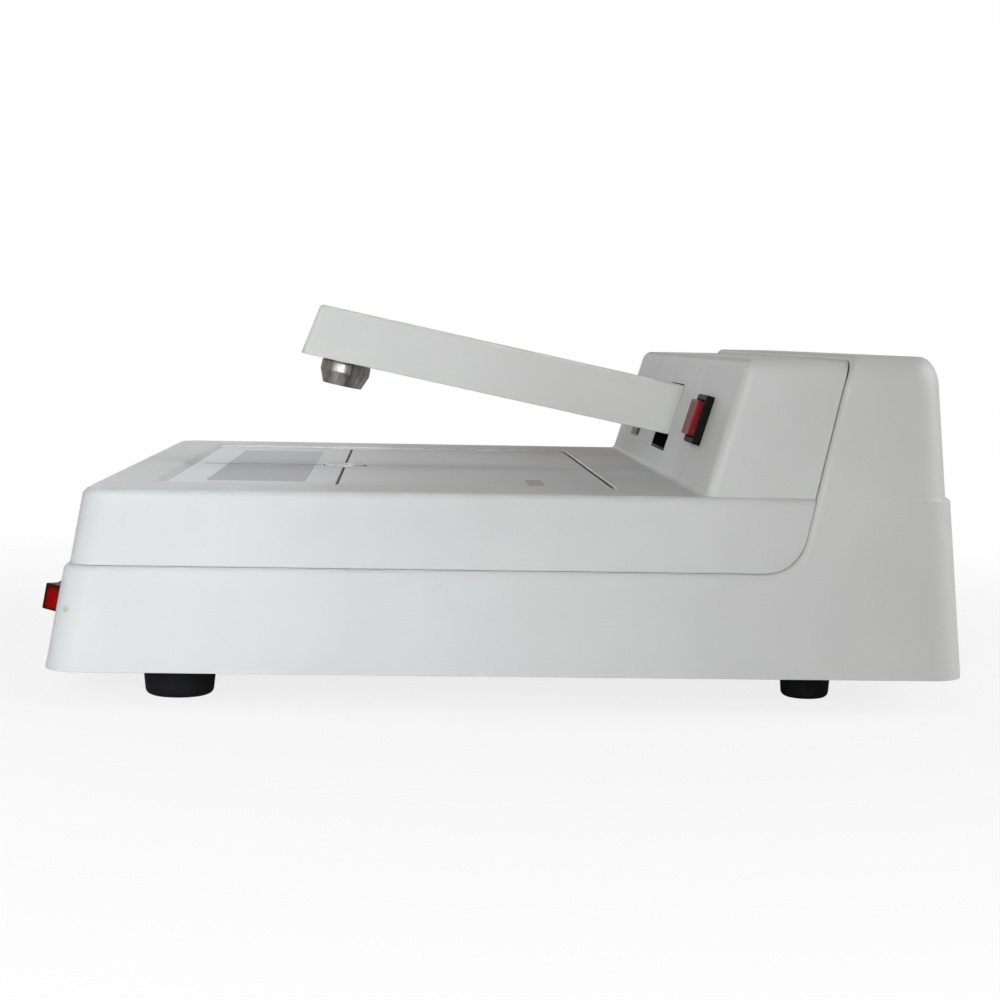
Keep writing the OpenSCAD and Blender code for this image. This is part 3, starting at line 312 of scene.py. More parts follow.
def carried(rows, loop=False, caps=(True, True)):
    """Surface of a profile carried along a closed path. As a loop the profile's last row
    joins its first; otherwise flat faces close both ends."""
    points = ring_points(rows)
    index = numbers(points.shape)
    around = np.concatenate([index, index[:, :1]], 1)
    if loop:
        around = np.concatenate([around, around[:1]], 0)
    faces = [tuple(f) for f in grid_quads(around).tolist()]
    if not loop:
        faces += [tuple(index[0, ::-1].tolist())] * caps[0] + [tuple(index[-1].tolist())] * caps[1]
    return points.reshape(-1, 3), faces


def quarter(path, inset, level, r, steps=4, down=False):
    """Rows of a round edge of radius r: from the wall up to the flat or, with down, from the
    flat down into an opening."""
    angle = np.linspace(0, math.pi / 2, steps + 1)
    sign, angle = (-1, angle[::-1]) if down else (1, angle)
    return [(path, inset + sign * r * (1 - math.cos(t)), level - r + r * math.sin(t)) for t in angle]


def bezel(outer, inner, body, depth, height, inner_round, at=(0, 0)):
    """Body of a control that is let into a wall, with a raised rim round its opening. outer,
    inner and body are widths, lengths and corner radii."""
    rim_round, opening_depth = 0.5, 8
    outer, inner, body = (rectangle(*sides, 5, at) for sides in (outer, inner, body))
    rows = [(body, 0, -depth), (body, 0, 0), (outer, 0, 0)] + quarter(outer, 0, height, rim_round)
    rows += quarter(inner, 0, height, inner_round, 3, down=True) + [(inner, 0, -opening_depth)]
    return carried(rows)


class Place:
    """A plane on the object: where its origin is, its two directions and its outward one."""

    def __init__(self, origin, across, up):
        self.origin = np.array(origin, float)
        self.axes = np.array([across, up, np.cross(across, up)], float)

    def __call__(self, points):
        return self.origin + np.asarray(points) @ self.axes


FRONT_TILT, REAR_TILT = math.atan(FRONT_DRAFT), math.atan(REAR_DRAFT)
ON_PANEL = Place((0, PANEL_FOOT, FOOT_H + DECK_H), (1, 0, 0),
                 (0, math.sin(PANEL_LEAN), math.cos(PANEL_LEAN)))
ON_FRONT = Place((ROCKER[0], front_y(ROCKER[1]), FOOT_H + ROCKER[1]), (1, 0, 0),
                 (0, math.sin(FRONT_TILT), math.cos(FRONT_TILT)))
ON_REAR = Place((LABEL_AT[0], float(rear_y(LABEL_AT[1])), FOOT_H + LABEL_AT[1]), (-1, 0, 0),
                (0, -math.sin(REAR_TILT), math.cos(REAR_TILT)))
IN_RECESS = Place((0, RECESS_Y, CONNECTOR_Z), (-1, 0, 0), (0, 0, 1))


def raised(points):
    """Turns points of the pressed arm about its pivot to where the arm rests."""
    p = np.array(points, float)
    y, z = p[..., 1] - PIVOT[0], p[..., 2] - PIVOT[1]
    c, s = math.cos(ARM_RAISE), math.sin(ARM_RAISE)
    p[..., 1], p[..., 2] = PIVOT[0] + y * c + z * s, PIVOT[1] - y * s + z * c
    return p


# ---- Pieces ----
def piece(name, points, faces, node, edge=0.0, sharp=32):
    """Makes a mesh of points in millimetres a piece of the object, in place of a solid."""
    mesh = bpy.data.meshes.new(name)
    mesh.from_pydata((np.asarray(points, float).reshape(-1, 3) * MM).tolist(), [], faces)
    mesh.validate()
    dress(bpy.data.objects.new(name, mesh), node, SLOTS[node], edge, sharp)


def finished_copy(node, edge=0.2, finish=None, sharp=32):
    """Piece in place of a solid: a merged copy of its mesh with its flats joined, and a small
    round on its edges."""
    work = bmesh.new()
    work.from_mesh(frame["nodes"][node].data)
    bmesh.ops.remove_doubles(work, verts=work.verts, dist=1e-6)
    bmesh.ops.dissolve_limit(work, angle_limit=math.radians(0.6), verts=work.verts, edges=work.edges)
    mesh = bpy.data.meshes.new(node + "_finish")
    work.to_mesh(mesh)
    work.free()
    dress(bpy.data.objects.new(mesh.name, mesh), node, finish or SLOTS[node], edge, sharp)


def dress(obj, node, finish, edge, sharp):
    """Links a piece, gives it its finish, smooth faces that stay flat next to their edges, a small round on
    edges sharper than so many degrees, and the solid's body, and hides that solid."""
    bpy.context.scene.collection.objects.link(obj)
    obj.data.materials.clear()
    obj.data.materials.append(Palette.get(finish))
    obj.data.polygons.foreach_set("use_smooth", [True] * len(obj.data.polygons))
    if edge:
        bevel = obj.modifiers.new("Edges", "BEVEL")
        bevel.width, bevel.segments = edge * MM, 2
        bevel.limit_method, bevel.angle_limit = "ANGLE", math.radians(sharp)
        bevel.use_clamp_overlap = True
        bevel.miter_outer = "MITER_ARC"
    else:
        obj.data.set_sharp_from_angle(angle=math.radians(sharp))
    weighted = obj.modifiers.new("Faces", "WEIGHTED_NORMAL")
    weighted.keep_sharp = True
    body, slot, replaces = BODIES[node], SLOTS[node], (node,)
    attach(obj, body)
    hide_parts(*replaces)


# ---- Materials ----
class Recipe:
    """Short forms for building a material's nodes on Object coordinates, in millimetres."""

    def __init__(self, name, colour, roughness, metallic=0.0):
        self.material = bpy.data.materials.new(name)
        self.material.use_nodes = True
        self.tree = self.material.node_tree
        self.shader = self.tree.nodes["Principled BSDF"]
        self.shader.inputs["Base Color"].default_value = (*colour, 1)
        self.shader.inputs["Roughness"].default_value = roughness
        self.shader.inputs["Metallic"].default_value = metallic
        self.material.diffuse_color = (*colour, 1)
        self.place = self.add("ShaderNodeTexCoord").outputs["Object"]

    def add(self, kind, **settings):
        node = self.tree.nodes.new(kind)
        for key, value in settings.items():
            setattr(node, key, value)
        return node

    def link(self, source, node, *sockets):
        for socket in sockets:
            self.tree.links.new(source, node.inputs[socket])

    def noise(self, size, detail=2.0, stretch=(1, 1, 1), rough=0.5, source=None):
        """Noise whose grains are about size millimetres, drawn out along an axis by stretch.
        It takes the Object coordinates, or a source vector in the same unit."""
        mapping = self.add("ShaderNodeMapping")
        mapping.inputs["Scale"].default_value = [1 / (size * MM * k) for k in stretch]
        self.link(source or self.place, mapping, "Vector")
        noise = self.add("ShaderNodeTexNoise")
        noise.inputs["Scale"].default_value = 1.0
        noise.inputs["Detail"].default_value = detail
        noise.inputs["Roughness"].default_value = rough
        self.link(mapping.outputs["Vector"], noise, "Vector")
        return noise.outputs["Fac"]

    def ramp(self, source, low, high, start=0.0, end=1.0):
        """Value that goes from start to end as the source goes from low to high."""
        node = self.add("ShaderNodeMapRange", clamp=True)
        for socket, value in (("From Min", low), ("From Max", high), ("To Min", start), ("To Max", end)):
            node.inputs[socket].default_value = value
        self.link(source, node, "Value")
        return node.outputs["Result"]

    def math(self, operation, a, b=0.0, c=0.0):
        node = self.add("ShaderNodeMath", operation=operation)
        for socket, value in enumerate((a, b, c)):
            if isinstance(value, (int, float)):
                node.inputs[socket].default_value = value
            else:
                self.link(value, node, socket)
        return node.outputs[0]

    def axes(self):
        """The three coordinates in millimetres."""
        scale = self.add("ShaderNodeVectorMath", operation="SCALE")
        scale.inputs["Scale"].default_value = 1 / MM
        self.link(self.place, scale, 0)
        split = self.add("ShaderNodeSeparateXYZ")
        self.link(scale.outputs[0], split, 0)
        return split.outputs

    def within(self, coordinate, low, high):
        """One between two values of a coordinate, zero outside."""
        return self.math("COMPARE", coordinate, (low + high) / 2, (high - low) / 2)

    def distance(self, a, b, at):
        """Distance from a point in the plane of two coordinates."""
        squares = [self.math("POWER", self.math("SUBTRACT", v, c), 2.0) for v, c in zip((a, b), at)]
        return self.math("SQRT", self.math("ADD", *squares))

    def mix(self, factor, a, b):
        """Colour between a and b, each a colour or a socket."""
        node = self.add("ShaderNodeMix", data_type="RGBA")
        self.link(factor, node, 0)
        for socket, value in ((6, a), (7, b)):
            if isinstance(value, tuple):
                node.inputs[socket].default_value = (*value, 1)
            else:
                self.link(value, node, socket)
        return node.outputs[2]

    def paint(self, colour):
        self.link(colour, self.shader, "Base Color")
        return self

    def gloss(self, value):
        self.link(value, self.shader, "Roughness")
        return self

    def bump(self, height, depth):
        """Bump of a height from 0 to 1, depth millimetres deep."""
        node = self.add("ShaderNodeBump")
        node.inputs["Strength"].default_value = 1.0
        node.inputs["Distance"].default_value = depth * MM
        self.link(height, node, "Height")
        self.link(node.outputs[0], self.shader, "Normal")
        return self


# Yellowed scuffs and dirt specks are the plastic's own marks; the dark red is painted shade on the mains
# rocker
YELLOWED, DIRT, PAINTED_SHADE_RED = (0.40, 0.36, 0.16), (0.42, 0.36, 0.28), (0.028, 0.006, 0.006)


def tinted(colour, factor):
    """The colour made lighter or darker by a factor."""
    return tuple(min(1.0, c * factor) for c in colour)


def moulded(name, colour, roughness=0.42, grain=0.35, depth=0.012, spread=0.035, specks=0.0, shine=0.5,
            mark=None):
    """Moulded plastic: fine even grain, slow cloudy tone, and a few small dark specks. A mark is
    a small yellowed scuff on the right side, at two places across it."""
    r = Recipe(name, colour, roughness)
    r.shader.inputs["Specular IOR Level"].default_value = shine
    cloud = r.noise(45, 3)
    tone = r.mix(r.ramp(cloud, 0.35, 0.65), tinted(colour, 1 - spread), tinted(colour, 1 + spread))
    fine = r.noise(grain, 2)
    if mark:
        x, y, z = r.axes()
        ragged = r.math("ADD", r.distance(y, z, mark), r.math("MULTIPLY", r.noise(0.9, 2), 1.4))
        there = r.math("MULTIPLY", r.ramp(ragged, 1.1, 1.9, 0.55, 0.0), r.math("GREATER_THAN", x, 0.0))
        tone = r.mix(there, tone, YELLOWED)
    if specks:
        dirt = r.ramp(r.noise(1.6, 1), 0.745, 0.775)
        sparse = r.ramp(r.noise(14, 2), 0.55, 0.66)
        mask = r.math("MULTIPLY", r.math("MULTIPLY", dirt, sparse), specks)
        tone = r.mix(mask, tone, DIRT)
    r.paint(tone)
    r.gloss(r.ramp(r.noise(9, 3), 0.3, 0.7, roughness - 0.04, roughness + 0.05))
    return r.bump(fine, depth).material


def metal(name, colour, roughness, size=0.5, stretch=(1, 1, 1), depth=0.006, spread=0.12):
    """Plated or drawn metal: streaks of tone and gloss drawn out along an axis."""
    r = Recipe(name, colour, roughness, 1.0)
    streak = r.noise(size, 4, stretch, 0.6)
    r.paint(r.mix(r.ramp(streak, 0.25, 0.75), tinted(colour, 1 - spread), tinted(colour, 1 + spread / 2)))
    r.gloss(r.ramp(streak, 0.3, 0.7, roughness * 0.75, roughness * 1.3))
    return r.bump(streak, depth).material


def turned_steel(name, colour, roughness):
    """Steel turned on a lathe and then brushed: streaks of tone that run along the probe's tilted axis, the
    fine ones the steel's brushing and the broad light and dark bands painted reflection of the surroundings,
    and faint rings round it."""
    r = Recipe(name, colour, roughness, 1.0)
    x, y, z = r.axes()
    c, s = math.cos(ARM_RAISE), math.sin(ARM_RAISE)
    ring_pitch, drawn_out = 0.35, 0.06
    along = r.math("ADD", r.math("MULTIPLY", y, s), r.math("MULTIPLY", z, c))
    ahead = r.math("SUBTRACT", r.math("MULTIPLY", y, c), r.math("MULTIPLY", z, s))
    turned = r.add("ShaderNodeCombineXYZ")
    for socket, value in enumerate((x, ahead, r.math("MULTIPLY", along, drawn_out))):
        r.link(r.math("MULTIPLY", value, MM), turned, socket)
    # Painted reflection: broad bands of light and dark tone along the axis, mixed with the fine brushed
    # streaks
    reflection_band = r.noise(3.4, 2, source=turned.outputs[0])
    streak = r.noise(0.8, 3, source=turned.outputs[0])
    tone = r.math("ADD", r.math("MULTIPLY", reflection_band, 0.7), r.math("MULTIPLY", streak, 0.3))
    ridge = r.math("SINE", r.math("MULTIPLY", along, 2 * math.pi / ring_pitch))
    r.paint(r.mix(r.ramp(tone, 0.38, 0.64), tinted(colour, 0.4), tinted(colour, 1.4)))
    r.gloss(r.ramp(streak, 0.3, 0.7, roughness * 0.8, roughness * 1.3))
    return r.bump(r.math("MULTIPLY_ADD", ridge, 0.5, 0.5), 0.004).material


def clear(name, colour, roughness, ior=1.5, clearness=1.0, shine=0.5):
    """Clear or tinted transparent piece with faint smears."""
    r = Recipe(name, colour, roughness)
    r.shader.inputs["Transmission Weight"].default_value = clearness
    r.shader.inputs["Specular IOR Level"].default_value = shine
    r.shader.inputs["IOR"].default_value = ior
    smear = r.noise(6, 3)
    r.paint(r.mix(r.ramp(smear, 0.3, 0.7), tinted(colour, 0.94), colour))
    r.gloss(r.ramp(smear, 0.3, 0.7, roughness, roughness + 0.06))
    return r.material


def red_moulding(name, colour, shine, roughness, painted_shade=False):
    """Clear red plastic over a dark inside: deep red with soft dark clouds. The mains rocker's copy gets
    painted shade: its red darkens towards its front face and its upper and lower edges."""
    r = Recipe(name, colour, roughness)
    r.shader.inputs["Specular IOR Level"].default_value = shine
    low, high = (0.7, 1.15) if painted_shade else (0.6, 1.3)
    red = r.mix(r.ramp(r.noise(3.5, 3), 0.3, 0.7), tinted(colour, low), tinted(colour, high))
    r.gloss(r.ramp(r.noise(0.9, 3), 0.3, 0.75, roughness - 0.07, roughness + 0.07))
    # Painted shade: dark red painted towards the rocker's front face and its upper and lower edges
    if painted_shade:
        x, y, z = r.axes()
        c, s = math.cos(FRONT_TILT), math.sin(FRONT_TILT)
        y, z = (r.math("SUBTRACT", v, float(o)) for v, o in zip((y, z), ON_FRONT.origin[1:]))
        out = r.math("SUBTRACT", r.math("MULTIPLY", z, s), r.math("MULTIPLY", y, c))
        up = r.math("ADD", r.math("MULTIPLY", z, c), r.math("MULTIPLY", y, s))
        ends = r.math("MULTIPLY", r.ramp(up, 1.9, 3.3, 1.0, 0.0), r.ramp(up, -3.6, -2.6))
        lit = r.math("MULTIPLY", r.ramp(out, 5.2, 6.3, 1.0, 0.0), ends)
        red = r.mix(lit, PAINTED_SHADE_RED, red)
    r.paint(red)
    return r.bump(r.noise(2.0, 2), 0.01).material


def stage_finish(name, colour, line, print_grey):
    """Satin plate with a dark line across at the measuring spot and a faint one lengthwise, stronger ahead of
    the spot, a thin painted shadow circle round the ring where its gap is in shade, a small plain grey bar
    printed at the right rear, and faint scuffs where film slides."""
    r = Recipe(name, colour, 0.34)
    x, y, z = r.axes()
    half_line, clear_of_spot, margin = 0.42, 8, 2.9
    reach_x, reach_y = 94, (STAGE_MID - STAGE[1] / 2 + margin, STAGE_MID + STAGE[1] / 2 - margin)
    inside = r.math("MULTIPLY", r.within(x, -reach_x, reach_x), r.within(y, *reach_y))
    over = r.math("MULTIPLY", r.within(y, SPOT_Y - half_line, SPOT_Y + half_line), inside)
    ahead = r.math("LESS_THAN", y, SPOT_Y - clear_of_spot)
    wide = r.math("MULTIPLY_ADD", ahead, 0.6, 0.5)
    length = r.math("MULTIPLY", r.math("LESS_THAN", r.math("ABSOLUTE", x), wide), inside)
    length = r.math("MULTIPLY", length, r.math("MULTIPLY_ADD", ahead, 0.55, 0.2))
    # Painted shadow: a thin dark circle just outside the ring, in place of the shade in the gap round it
    edge = r.within(r.distance(x, y, (0.0, SPOT_Y)), RING_R + 0.1, RING_R + 0.8)
    bar = r.math("MULTIPLY", r.within(x, 57, 82), r.within(y, 8, 13))
    cloud = r.noise(38, 3)
    scuff = r.ramp(r.noise(1.2, 3, (14, 1, 1)), 0.62, 0.8)
    base = r.mix(r.ramp(cloud, 0.3, 0.7), tinted(colour, 0.97), tinted(colour, 1.03))
    base = r.mix(r.math("MULTIPLY", scuff, 0.12), base, tinted(colour, 0.88))
    base = r.mix(r.math("MULTIPLY", bar, 0.75), base, print_grey)
    # The printed lines and the painted shadow round the ring share the line colour, shine and gloss
    drawn = r.math("MAXIMUM", r.math("MAXIMUM", over, edge), length)
    r.paint(r.mix(drawn, base, line))
    r.link(r.ramp(drawn, 0, 1, 0.4, 0.05), r.shader, "Specular IOR Level")
    r.gloss(r.math("ADD", r.ramp(scuff, 0, 1, 0.34, 0.42), r.math("MULTIPLY", drawn, 0.3)))
    return r.bump(r.noise(0.4, 2), 0.006).material


def printed(name, colour):
    """Printed ink: fine halftone grain, paler on the left field."""
    r = Recipe(name, colour, 0.5)
    r.shader.inputs["Specular IOR Level"].default_value = 0.25
    x, y, z = r.axes()
    left = r.math("LESS_THAN", x, 0.0)
    tone = r.mix(r.ramp(r.noise(0.5, 3), 0.35, 0.65), tinted(colour, 0.96), tinted(colour, 1.04))
    r.paint(r.mix(left, tone, tinted(colour, 1.17)))
    return r.bump(r.noise(0.3, 1), 0.004).material


def label_finish(name, colour, ink):
    """Satin label with a thin black ruled border and three blank ruled fields."""
    r = Recipe(name, colour, 0.38)
    x, y, z = r.axes()
    border_x, border_z, border, rule, rule_x = 23.6, 10.3, 0.35, 0.22, 20.5
    across, up = r.math("SUBTRACT", x, LABEL_AT[0]), r.math("SUBTRACT", z, FOOT_H + LABEL_AT[1])
    wide, high = r.math("ABSOLUTE", across), r.math("ABSOLUTE", up)
    ends = r.math("MULTIPLY", r.within(wide, border_x - border, border_x), r.within(high, 0, border_z))
    sides = r.math("MULTIPLY", r.within(high, border_z - border, border_z), r.within(wide, 0, border_x))
    rules = r.within(up, 4.4, 4.4 + rule)
    for level in (-0.7, -5.6):
        rules = r.math("MAXIMUM", rules, r.within(up, level, level + rule))
    rules = r.math("MULTIPLY", rules, r.within(wide, 0, rule_x))
    worn = r.ramp(r.noise(3.2, 4), 0.62, 0.78)
    tone = r.mix(r.ramp(r.noise(16, 3), 0.3, 0.7), tinted(colour, 0.95), tinted(colour, 1.02))
    tone = r.mix(r.math("MULTIPLY", worn, 0.2), tone, tinted(colour, 0.8))
    tone = r.mix(r.math("MULTIPLY", rules, 0.55), tone, ink)
    r.paint(r.mix(r.math("MAXIMUM", ends, sides), tone, ink))
    return r.bump(r.noise(0.5, 2), 0.004).material


def circuit(name, colour, copper):
    """Lacquered board: tracks under green lacquer, seen as paler lines and rows of pads."""
    r = Recipe(name, colour, 0.3)
    x, y, z = r.axes()
    wave = r.math("PINGPONG", r.math("ADD", x, r.math("MULTIPLY", r.noise(11, 1), 9)), 1.3)
    track = r.ramp(wave, 0.85, 1.0)
    pads = r.math("MULTIPLY", r.ramp(r.math("PINGPONG", x, 1.27), 0.95, 1.05),
                  r.ramp(r.math("PINGPONG", y, 1.27), 0.95, 1.05))
    r.paint(r.mix(r.math("MULTIPLY", pads, 0.8), r.mix(track, colour, tinted(colour, 1.6)), copper))
    return r.bump(track, 0.02).material


def layered(name, colour, pitch, depth, roughness=0.5, metallic=0.0):
    """Stacked laminations or wound tape: even fine lines across the width."""
    r = Recipe(name, colour, roughness, metallic)
    x, y, z = r.axes()
    line = r.ramp(r.math("PINGPONG", y, pitch), 0, pitch)
    r.paint(r.mix(r.math("MULTIPLY", line, r.noise(3, 3)), tinted(colour, 0.8), tinted(colour, 1.2)))
    return r.bump(line, depth).material


class Palette:
    """The object's materials, each made once."""

    made = {}

    @classmethod
    def get(cls, finish):
        if finish not in cls.made:
            maker, colour, options = FINISHES[finish]
            if isinstance(colour, str):
                colour = tuple(getattr(bpy.context.scene.densitometer_look, colour))
            cls.made[finish] = maker(finish, colour, **options)
        return cls.made[finish]


# Finishes by the record's slot, and one more red: how each is made, its colour or the name of
# the setting that holds it, and what sets it apart
FINISHES = {
    "case_plastic": (moulded, "case", dict(specks=0.25, shine=0.35, mark=(-123.4, 26.2))),
    "cover_plastic": (moulded, "cover", dict(specks=0.12, shine=0.35)),
    "arm_plastic": (moulded, "arm", dict(specks=0.08, shine=0.35)),
    # The stage's line colour serves its printed lines and the painted shadow round the ring
    "stage_plastic": (stage_finish, "stage", dict(line=(0.10, 0.10, 0.105), print_grey=(0.34, 0.34, 0.35))),
    "stage_print": (printed, "field", {}),
    "ring_plastic": (moulded, (0.8, 0.8, 0.79), dict(roughness=0.25, grain=0.6, depth=0.004)),
    "diffuser": (moulded, (0.93, 0.93, 0.92), dict(roughness=0.2, grain=0.8, depth=0.003)),
    "black_plastic": (moulded, "black", dict(roughness=0.5, grain=0.25, depth=0.01, spread=0.15, shine=0.06)),
    "window": (clear, (0.05, 0.012, 0.014), dict(roughness=0.12, ior=1.4, clearness=0.3, shine=0.08)),
    "display": (moulded, (0.1, 0.1, 0.1), dict(roughness=0.3, grain=0.4, depth=0.006)),
    "board_green": (circuit, (0.03, 0.14, 0.07), dict(copper=(0.55, 0.5, 0.4))),
    "red_plastic": (red_moulding, "red", dict(shine=0.12, roughness=0.4)),
    # The mains rocker's clear red, with painted shade at its front face and edges
    "red_clear": (red_moulding, "lens_red", dict(shine=0.03, roughness=0.4, painted_shade=True)),
    "rubber": (moulded, "rubber", dict(roughness=0.7, grain=0.5, depth=0.03, spread=0.2, shine=0.2)),
    "steel": (metal, (0.62, 0.62, 0.63), dict(roughness=0.32, size=1.1)),
    "spring_steel": (metal, (0.55, 0.56, 0.58), dict(roughness=0.26, size=0.4, stretch=(1, 1, 4))),
    # The probe's steel, with painted reflection in broad bands along its axis
    "probe_steel": (turned_steel, (0.42, 0.405, 0.38), dict(roughness=0.38)),
    "plated_shell": (metal, (0.56, 0.53, 0.46), dict(roughness=0.34, size=0.9, stretch=(1, 1, 3), depth=0.004,
                                                     spread=0.18)),
    "serial_insulator": (moulded, (0.85, 0.84, 0.8), dict(roughness=0.35, grain=0.3, depth=0.005)),
    "contact_gold": (metal, (0.85, 0.64, 0.28), dict(roughness=0.2, size=0.3)),
    "bush_brass": (metal, (0.72, 0.55, 0.26), dict(roughness=0.28, size=0.6, stretch=(4, 1, 1))),
    "plate_foil": (label_finish, "label", dict(ink=(0.03, 0.03, 0.035))),
    "clear_glass": (clear, (0.9, 0.94, 0.94), dict(roughness=0.02)),
    "photodiode_can": (metal, (0.58, 0.58, 0.6), dict(roughness=0.25)),
    "lamp_housing": (metal, (0.5, 0.51, 0.53), dict(roughness=0.45, depth=0.02)),
    "ceramic": (moulded, (0.82, 0.8, 0.75), dict(roughness=0.55, grain=0.5, depth=0.02)),
    "components": (moulded, (0.035, 0.035, 0.04), dict(roughness=0.4, grain=0.5, depth=0.01, spread=0.2)),
    "core_iron": (layered, (0.22, 0.23, 0.25), dict(pitch=0.5, depth=0.08, roughness=0.4, metallic=0.8)),
    "coil_tape": (layered, (0.6, 0.42, 0.12), dict(pitch=1.6, depth=0.06, roughness=0.4)),
}


# ---- Settings ----
def size(name, description, default, low=0.0, high=0.1):
    return bpy.props.FloatProperty(name=name, description=description, default=default * MM, min=low,
                                   max=high, subtype="DISTANCE", unit="LENGTH", precision=5)


def tint(name, description, default):
    return bpy.props.FloatVectorProperty(name=name, description=description, default=default, size=3,
                                         min=0, max=1, subtype="COLOR")


class DENSITOMETER_PG_look(bpy.types.PropertyGroup):
    """Colours of the finishes"""
    case: tint("Case", "Colour of the base shell and the connector frame", (0.70, 0.72, 0.72))
    cover: tint("Cover", "Colour of the front cover", (0.70, 0.72, 0.72))
    arm: tint("Arm", "Colour of the arm's mouldings", (0.74, 0.75, 0.735))
    stage: tint("Stage", "Colour of the stage plate", (0.71, 0.72, 0.74))
    field: tint("Field", "Colour of the fields printed on the stage", (0.56, 0.57, 0.60))
    label: tint("Label", "Colour of the rear label", (0.74, 0.745, 0.74))
    black: tint("Black", "Colour of the black mouldings", (0.011, 0.010, 0.010))
    red: tint("Red", "Colour of the button's cap", (0.25, 0.012, 0.022))
    lens_red: tint("Clear red", "Colour of the mains rocker", (0.27, 0.003, 0.004))
    rubber: tint("Rubber", "Colour of the feet", (0.006, 0.006, 0.007))


class DENSITOMETER_PG_case(bpy.types.PropertyGroup):
    """Sizes of the case's edges"""
    lip: size("Shell edge", "Radius of the base shell's edge along the seam", 1.6)
    seam_edge: size("Cover edge", "Radius of the cover's edge along the seam", 0.25)
    foot_fillet: size("Panel fillet", "Radius where the sloped panel meets the deck", 2.0)
    hump_corner: size("Hump corner", "Radius of the hump's front corners", 3.4)
    arm_edge: size("Arm edge", "Radius of the arm's upper edges", 1.4)
    arm_corner: size("Arm corner", "Radius of the arm's front corners", 1.6)


class DENSITOMETER_PG_studio(bpy.types.PropertyGroup):
    """Lights and camera"""
    key: bpy.props.FloatProperty(name="Key light", description="Power of the side light", default=3.0,
                                 min=0, subtype="POWER", unit="POWER")
    world: bpy.props.FloatProperty(name="Surround", description="Strength of the light from all round",
                                   default=0.22, min=0)
    mirrored: bpy.props.FloatProperty(name="Mirrored", description="Level of the surround in glossy faces",
                                      default=0.42, min=0)
    lens: bpy.props.FloatProperty(name="Lens", description="Focal length of the camera", default=71.49,
                                  min=1, subtype="DISTANCE_CAMERA", unit="CAMERA")


# ---- Operators ----
class Maker:
    """What all of the operators share"""
    bl_options = {"REGISTER", "UNDO"}

    def execute(self, context):
        self.make(context)
        return {"FINISHED"}


def levels(*parts):
    """Numbers and lists of numbers joined to one array."""
    return np.concatenate([np.atleast_1d(np.asarray(p, float)) for p in parts])


def top_round(top, r, steps=9):
    """Heights, insets and leans of the rows of a round edge below a flat top."""
    angle = np.linspace(0, math.pi / 2, steps + 1)
    return top - r + r * np.sin(angle), r - r * np.cos(angle), angle


class DENSITOMETER_OT_base_shell(Maker, bpy.types.Operator):
    """Lower case with the rear hood, one moulding with a raised rounded lip along the seam"""
    bl_idname = "densitometer.base_shell"
    bl_label = "Base shell"

    def make(self, context):
        lip = context.scene.densitometer_case.lip / MM
        under, steps = 0.25, 10
        near = levels(0, 0.1, 0.26, 0.5, 0.8, 1.15, 1.6, 2.4, 4, 6.5, 10)
        near_ahead = levels(0, 0.4, 1, 2, 4, 8, 16, 30, 50, 75, 100)
        run = np.linspace(0, 1, 5)[1:-1]
        rear_wall = levels(112, 80, 40, 0, FRAME_HOLE[0][1], FRAME_X, FRAME_HOLE[0][0])
        front_wall = -levels(-112, -ROCKER_HOLE[0][0], -45, 0, 45, ROCKER_HOLE[0][0], ROCKER[0],
                             ROCKER_HOLE[0][1], 112)
        quarter_turn = np.linspace(0, math.pi / 2, 9)
        low_h = levels(under * (1 - np.cos(np.linspace(0, math.pi / 2, 4))), ROCKER_HOLE[1], 25.5,
                       LEDGE_H - lip - 0.25, LEDGE_H - lip * (1 - np.sin(quarter_turn)))
        cy, ch = seam_centre(0)
        arc = ch + SEAM_ARC * np.sin(np.radians(levels(-86, -80, -73, -65, -56, -46, -35, -24, -13)))
        round_h, round_in, round_lean = top_round(HOOD_H, HOOD_ROUND, 10)
        high_h = levels(arc, FRAME_HOLE[1][1], 46, np.linspace(DECK_H - 0.6, DECK_H + 0.9, 11), 60, 70, 80)
        h = levels(low_h, high_h, round_h)
        inset = levels(edge_round(low_h, under), 0 * high_h, round_in)[:, None]
        lean = levels(0 * low_h, 0 * high_h, round_lean)[:, None]
        flank, low = len(near) + len(run), len(low_h)

        def skin(rows, across, from_seam, cut, far, turn, inner):
            """The shell behind the seam's foot or, turned round, the part ahead of it"""
            grid = np.repeat(h[:rows, None], 2 * (flank + steps + 1) + len(across), 1)
            path = u_path(grid, side_x, cut, far, CORNER_R, from_seam, run, across, steps)
            y = turn * (path[1] - inset[:rows] * path[3])
            drop = 0 * y if inner else edge_round(np.maximum(seam_distance(y, grid, 0), 0), lip)
            level, inward = grid, inset[:rows]
            if inner:
                level, inward = inner_side(level, inward, HOOD_H, HOOD_ROUND)
            points = u_skin(path, level, inward, lean[:rows], drop)
            points[..., :2] *= turn
            return points

        def both(inner):
            return (skin(len(h), rear_wall, near, lambda q: seam_y(q, 0), hood_y, 1, inner),
                    skin(low, front_wall, near_ahead, lambda q: -cy + 0 * q, lambda q: -front_y(q), -1,
                         inner))

        (rear, front), (rear_in, front_in) = both(False), both(True)
        index = numbers(rear.shape)
        front_index = numbers((low, front.shape[1] - 2), index.size)
        ahead = np.concatenate([index[:low, -1:], front_index, index[:low, :1]], 1)
        column = flank + steps + 1
        quads = [grid_quads(index, [cells(h, rear_wall, column, *FRAME_HOLE)]),
                 grid_quads(ahead, [cells(h, -front_wall, column, *ROCKER_HOLE)])]
        top_quads, top_faces = roof(index[-1], flank)
        outer = np.concatenate([rear.reshape(-1, 3), front[:, 1:-1].reshape(-1, 3)])
        inner = np.concatenate([rear_in.reshape(-1, 3), front_in[:, 1:-1].reshape(-1, 3)])
        piece("shell_moulding", *closed_wall(outer, inner, quads + [top_quads] + top_faces), "base_shell")


